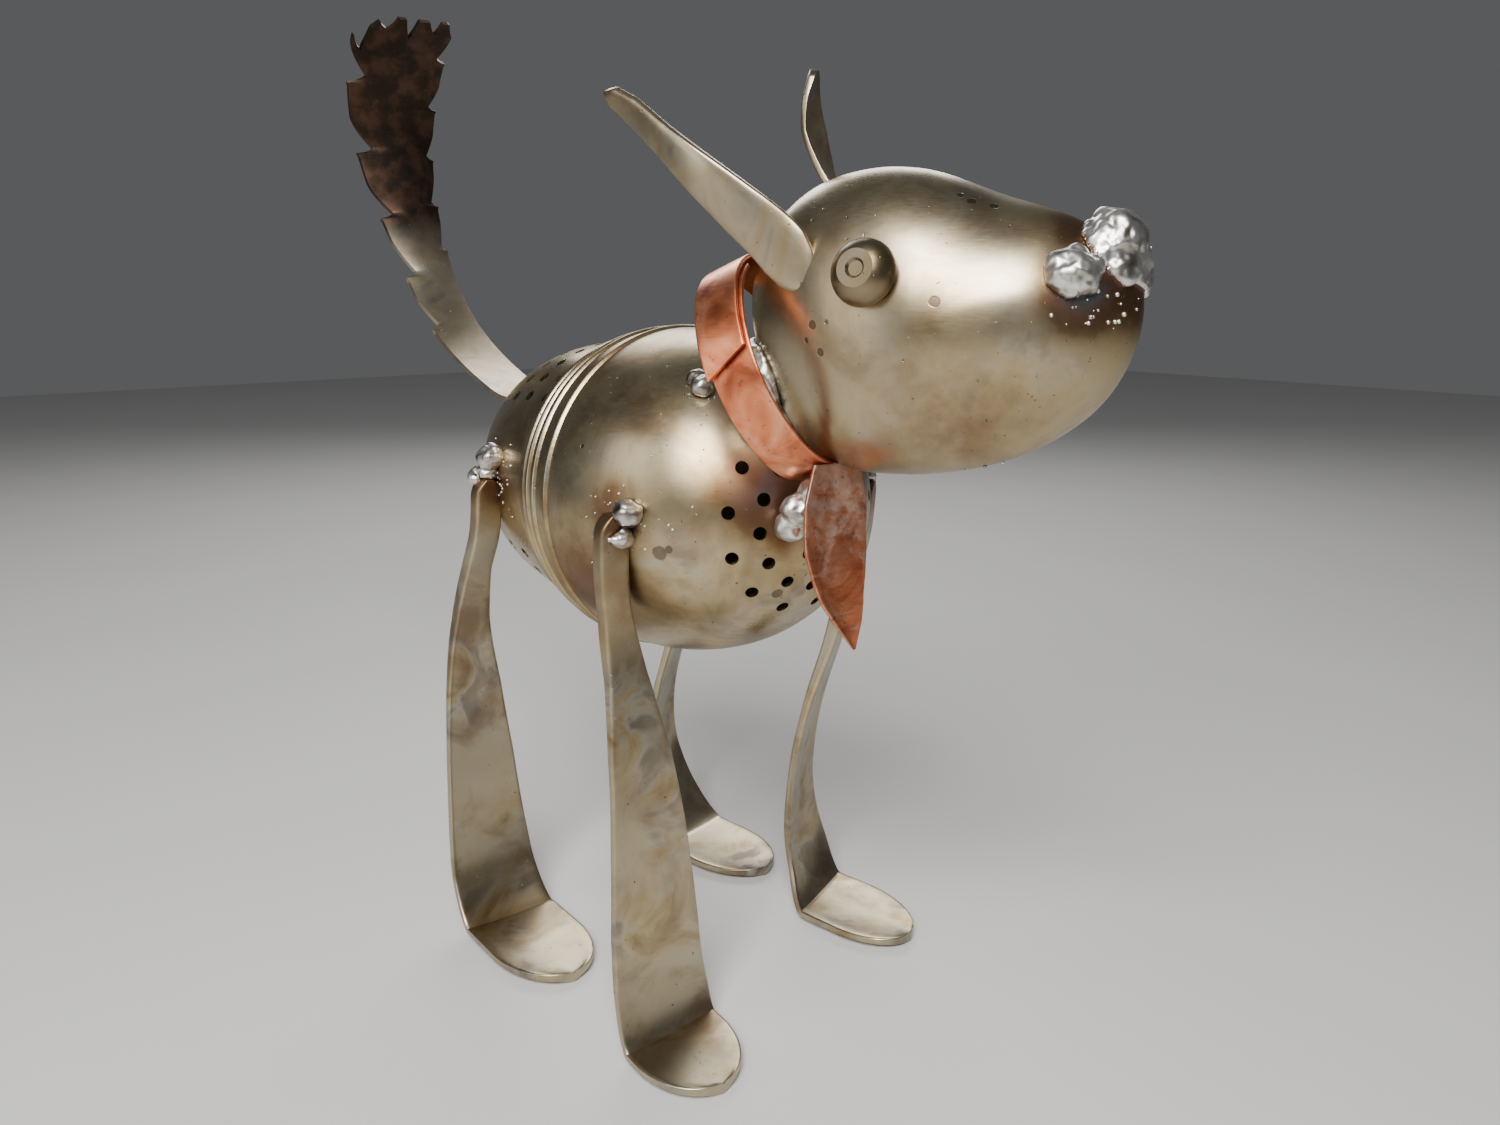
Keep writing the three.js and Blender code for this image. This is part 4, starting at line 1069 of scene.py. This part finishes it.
# %% [markdown]
# ## Collar and leaf: sheet copper
# The collar is one strip wound somewhat more than once round the neck, and its outer end stands off
# a little. The leaf is cut to a point and its right edge is curled forward. Its top is mottled with
# silver where it was welded.

# %% Collar
COLLAR_RADIUS, COLLAR_WIDTH, COLLAR_THICKNESS = 17.3, 7.8, 0.8
FLAP_LIFT, FLAP_SHIFT, FLAP_SLANT = 1.2, 0.4, 1.6
COLLAR_START, COLLAR_END = 20, 442      # degrees round the neck
OVERLAP_START, OVERLAP_END = 318, 372   # where the strip climbs on its own first turn
NECK_LIFT = math.radians(24)
neck_axis = np.array([math.cos(NECK_LIFT), 0, math.sin(NECK_LIFT)])
neck_up = np.array([-math.sin(NECK_LIFT), 0, math.cos(NECK_LIFT)])


def make_collar():
    degrees = np.linspace(COLLAR_START, COLLAR_END, 300)
    overlap = ease(degrees, OVERLAP_START, OVERLAP_END)
    turn = COLLAR_THICKNESS + JOIN_GAP
    waves = 0.12 * np.sin(np.radians(degrees) * 5)
    radius = COLLAR_RADIUS + COLLAR_THICKNESS / 2 + turn * overlap
    radius = radius + (FLAP_LIFT - turn) * ease(degrees, 375, COLLAR_END) + waves
    back = -FLAP_SHIFT * overlap - COLLAR_WIDTH / 2
    angle = np.radians(degrees)[:, None]
    left = np.array([0, -1.0, 0])
    out = neck_up * np.cos(angle) + left * np.sin(angle)
    around = -neck_up * np.sin(angle) + left * np.cos(angle)
    u, v = section(9)
    slant = FLAP_SLANT * ease(degrees, COLLAR_END - 14, COLLAR_END)
    rings = (neck_axis * (back[:, None, None] + COLLAR_WIDTH / 2 * u[None, :, None])
             + out[:, None] * (radius[:, None] + COLLAR_THICKNESS / 2 * v)[..., None]
             + around[:, None] * (-slant[:, None] * u)[..., None])
    return skin(rings)


collar_points, collar_faces = make_collar()
make_piece("collar", "copper", from_head(collar_points), collar_faces, collar_copper)

# %% Leaf
LEAF_LENGTH, LEAF_WIDTH, LEAF_THICKNESS, LEAF_AHEAD = 31.0, 12.0, 0.9, 8.3
LEAF_ACROSS = (0.98, -0.2, 0)
LEAF_LINE = ((0, 0, 0), (-3.5, -3.5, 21), (-5.3, -6, 41), (-5, -8.5, 56), (-3.4, -10, 70), (0.6, -11.4, 84),
             (5, -12, 100))
leaf_width = table([(0, LEAF_WIDTH * 0.8), (0.2, LEAF_WIDTH), (0.45, LEAF_WIDTH), (0.6, LEAF_WIDTH * 0.88),
                    (0.74, LEAF_WIDTH * 0.7), (0.86, LEAF_WIDTH * 0.44), (1, LEAF_WIDTH * 0.05)])
leaf_top = COLLAR_PLACE + [0, -LEAF_AHEAD, -COLLAR_RADIUS * 0.93]
leaf_route = np.array([(x, y, -z) for x, y, z in LEAF_LINE]) * LEAF_LENGTH / 100 + leaf_top


def leaf_curl(t, u):
    """The leaf's right edge rolls forward, less towards its tip."""
    return 1.5 * ease(-u, 0.45, 1.0) * (1 - 0.8 * t) + 0.35 * np.sin(6 * t) * u


leaf_points, leaf_faces, leaf_grain = strip(
    leaf_route, leaf_width, lambda t: np.full(len(t), LEAF_THICKNESS),
    lambda t: np.tile(LEAF_ACROSS, (len(t), 1)), np.linspace(0, 1, 120), square=8, shift=leaf_curl)
leaf_solder = 1 - ease(leaf_grain[:, 0] / LEAF_LENGTH, 0.05, 0.75)
make_piece("collar_leaf", "copper", leaf_points, leaf_faces, leaf_copper, name="leaf",
           solder=leaf_solder, grain=leaf_grain)

# %% [markdown]
# ## Welds: molten lumps with beads
# A weld is a run of drops that froze over each other, with beads of spatter round it. The plain
# lumps of the frame say where each one is. One Geometry Nodes tree melts a lump together as a
# volume, roughens it with noise so that it also bites into its neighbours, and scatters beads.

# %% The tree that melts a lump
def melting_tree():
    n, given = geometry_tree("Melt a lump", [
        ("Geometry", "Geometry", None), ("Grain", "Float", 0.22), ("Growth", "Float", 0.4),
        ("Roughness", "Float", 0.8), ("Lump scale", "Float", 0.3), ("Bead radius", "Float", 0.5),
        ("Spatter", "Object", None), ("Rounding", "Int", 8), ("Seed", "Int", 1), ("Metal", "Material", None)])
    volume = n.add("GeometryNodeMeshToVolume", {"resolution_mode": "VOXEL_SIZE"}, {
        "Mesh": given["Geometry"], "Density": 1.0, "Voxel Size": given["Grain"],
        "Interior Band Width": 1.2})
    melted = n.add("GeometryNodeVolumeToMesh", {}, {"Volume": volume, "Threshold": 0.12})
    place = n.add("GeometryNodeInputPosition")
    rounded = n.add("GeometryNodeBlurAttribute", {"data_type": "FLOAT_VECTOR"},
                    {"Value": place, "Iterations": given["Rounding"]})
    melted = n.add("GeometryNodeSetPosition", {}, {"Geometry": melted, "Position": rounded})
    normal = n.add("GeometryNodeInputNormal")
    lumps = n.add("ShaderNodeTexNoise", {"normalize": True}, {
        "Scale": given["Lump scale"], "Detail": 2.0, "Roughness": 0.5})
    rise = given["Growth"] + (lumps - 0.5) * given["Roughness"]
    push = n.add("ShaderNodeVectorMath", {"operation": "SCALE"}, {0: normal, "Scale": rise})
    rough = n.add("GeometryNodeSetPosition", {}, {"Geometry": melted, "Offset": push})
    smooth = n.add("GeometryNodeSetShadeSmooth", {}, {"Geometry": rough})
    where = n.add("GeometryNodeObjectInfo", {}, {"Object": given["Spatter"]}, "Geometry")
    bead = n.add("GeometryNodeMeshIcoSphere", {}, {"Radius": given["Bead radius"], "Subdivisions": 2})
    size = n.add("FunctionNodeRandomValue", {"data_type": "FLOAT"},
                 {2: 0.3, 3: 1.1, "Seed": given["Seed"]}, 1)
    beads = n.add("GeometryNodeInstanceOnPoints", {}, {"Points": where, "Instance": bead, "Scale": size})
    beads = n.add("GeometryNodeSetShadeSmooth", {}, {
        "Geometry": n.add("GeometryNodeRealizeInstances", {}, [beads])})
    both = n.add("GeometryNodeJoinGeometry")
    n.tree.links.new(beads.socket, both.socket.node.inputs[0])
    n.tree.links.new(smooth.socket, both.socket.node.inputs[0])
    return close_tree(n, both, given["Metal"])


melt_lump = melting_tree()

# %% The welds
HIP_BEADS, HIP_REACH = 46, 4.0
HIP_LOOK = dict(rough=2.6, rounding=7, radius=0.26, growth=0.5)
NOSE_BEADS, NOSE_MIDDLE, NOSE_REACH = 30, (47.5, 10.0), 3.0
NOSE_LOOK = dict(rough=2.2, rounding=16, radius=0.36, growth=0.7)
# Single beads in the head's frame: four on the muzzle's tip and three under the jaw's rim
SINGLE_BEADS = ((52.6, -3.4, 10.4), (52.4, -2.7, 8.9), (53.6, -1.6, 17.5), (50.5, -5.6, 9.7),
                (28.5, -2.2, -15.9), (31.5, -1.5, -15.3), (34.0, -0.6, -14.6))
COLLAR_BEADS, COLLAR_BEADS_MIDDLE, COLLAR_BEADS_REACH = 26, (-36, 35), 3.0


def copy_of_node(node):
    """A copy of a frame node's mesh in millimetres, with its loose triangles joined."""
    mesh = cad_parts[node].data.copy()
    mesh.transform(Matrix.Scale(1 / MM, 4) @ Matrix.Translation(Vector(-origin)))
    work = bmesh.new()
    work.from_mesh(mesh)
    bmesh.ops.remove_doubles(work, verts=work.verts, dist=0.001)
    work.to_mesh(mesh)
    work.free()
    mesh.materials.clear()
    return mesh


def spatter(count, seed, middle, reach, surface):
    """Places for beads that flew from a weld: crowded near its middle, on the surface round it."""
    random = np.random.default_rng(seed)
    away = random.normal(0, 1, (count, 2)) * reach
    return [surface(middle[0] + a, middle[1] + b) for a, b in away]


def beside_hip(name):
    """A point of the ball at a distance along it and round it from a hip."""
    hip, side = HIPS[name]
    return lambda along, up: on_ball(along, math.radians(90 + side * 90) - side * up / BALL_RADIUS)


def make_weld(node, seed, beads=(), rough=0.9, rounding=8, radius=0.45, growth=0.35):
    """A node's lump melted together. rough and growth are in millimetres, radius is that of a bead,
    and rounding is how often its corners are drawn to their neighbours."""
    cloud = point_cloud(node + "_beads", list(beads), np.zeros((len(beads), 3)))
    weld = run_tree(melt_lump, "molten_" + node, copy_of_node(node), Spatter=cloud, Growth=growth,
                    Roughness=rough, Rounding=rounding, Bead_radius=radius, Seed=seed, Metal=weld_metal)
    bpy.data.objects.remove(cloud)
    store_heat(weld.data)
    return dress(weld, "weld", node)


for seed, leg in enumerate(HIPS, start=3):
    flown = spatter(HIP_BEADS, seed, (HIPS[leg][0], 1.0), HIP_REACH, beside_hip(leg))
    make_weld(leg.replace("leg", "weld"), seed, flown, **HIP_LOOK)

flown = spatter(NOSE_BEADS, 9, NOSE_MIDDLE, NOSE_REACH, lambda x, z: from_head(on_bowl(x, z, -1)))
make_weld("nose", 9, flown + list(from_head(SINGLE_BEADS)), **NOSE_LOOK)
flown = spatter(COLLAR_BEADS, 10, COLLAR_BEADS_MIDDLE, COLLAR_BEADS_REACH,
                lambda y, arc: on_ball(y, arc / BALL_RADIUS))
make_weld("collar_weld", 10, flown, rough=1.5, radius=0.3)
make_weld("neck_weld", 11)
make_weld("leaf_weld", 12, radius=0.35)

# %% [markdown]
# ## Floor and light
# A plain pale floor and soft lamps: one wide lamp high in front, a smaller one behind to draw the
# edges, and a long one low on the far side, so that the round metal shows clear bands of light.

# %% Floor
FLOOR_SIZE = 3.0
FLOOR_GREYS = ((0.56, 0.55, 0.53), (0.60, 0.59, 0.57))


def plain_floor():
    bpy.ops.mesh.primitive_plane_add(size=FLOOR_SIZE)
    floor = bpy.context.object
    floor.name = "floor"
    f = Finish("floor_paint")
    shader = f.add("ShaderNodeBsdfPrincipled", {}, {
        "Base Color": f.mix(f.noise(0.01), *FLOOR_GREYS), "Roughness": 0.55})
    f.add("ShaderNodeOutputMaterial", {}, {"Surface": shader})
    floor.data.materials.append(f.material)


plain_floor()

# %% Light
AIM = Vector((0, 0, 0.1))
WORLD_COLOR, WORLD_STRENGTH = (0.80, 0.82, 0.85), 0.13
# Each lamp: its name, place, width and height in metres, and power in watts
LAMPS = (
    ("key", (-0.34, -0.32, 0.5), 0.34, 0.34, 7.5),
    ("rim", (0.35, 0.45, 0.5), 0.5, 0.3, 2.4),
    ("side", (-0.7, 0.1, 0.3), 0.3, 0.6, 1.2),
)
for name, place, wide, high, power in LAMPS:
    data = bpy.data.lights.new(name, "AREA")
    data.shape = "RECTANGLE"
    data.size, data.size_y = wide, high
    data.energy = power
    lamp = new_object(name, data)
    lamp.location = place
    lamp.rotation_euler = (AIM - Vector(place)).to_track_quat("-Z", "Y").to_euler()

world = bpy.data.worlds.new("studio")
bpy.context.scene.world = world
world.use_nodes = True
backdrop = world.node_tree.nodes["Background"]
backdrop.inputs["Color"].default_value = (*WORLD_COLOR, 1)
backdrop.inputs["Strength"].default_value = WORLD_STRENGTH
print("lamps:", len(LAMPS), "with", sum(lamp[-1] for lamp in LAMPS), "watts")
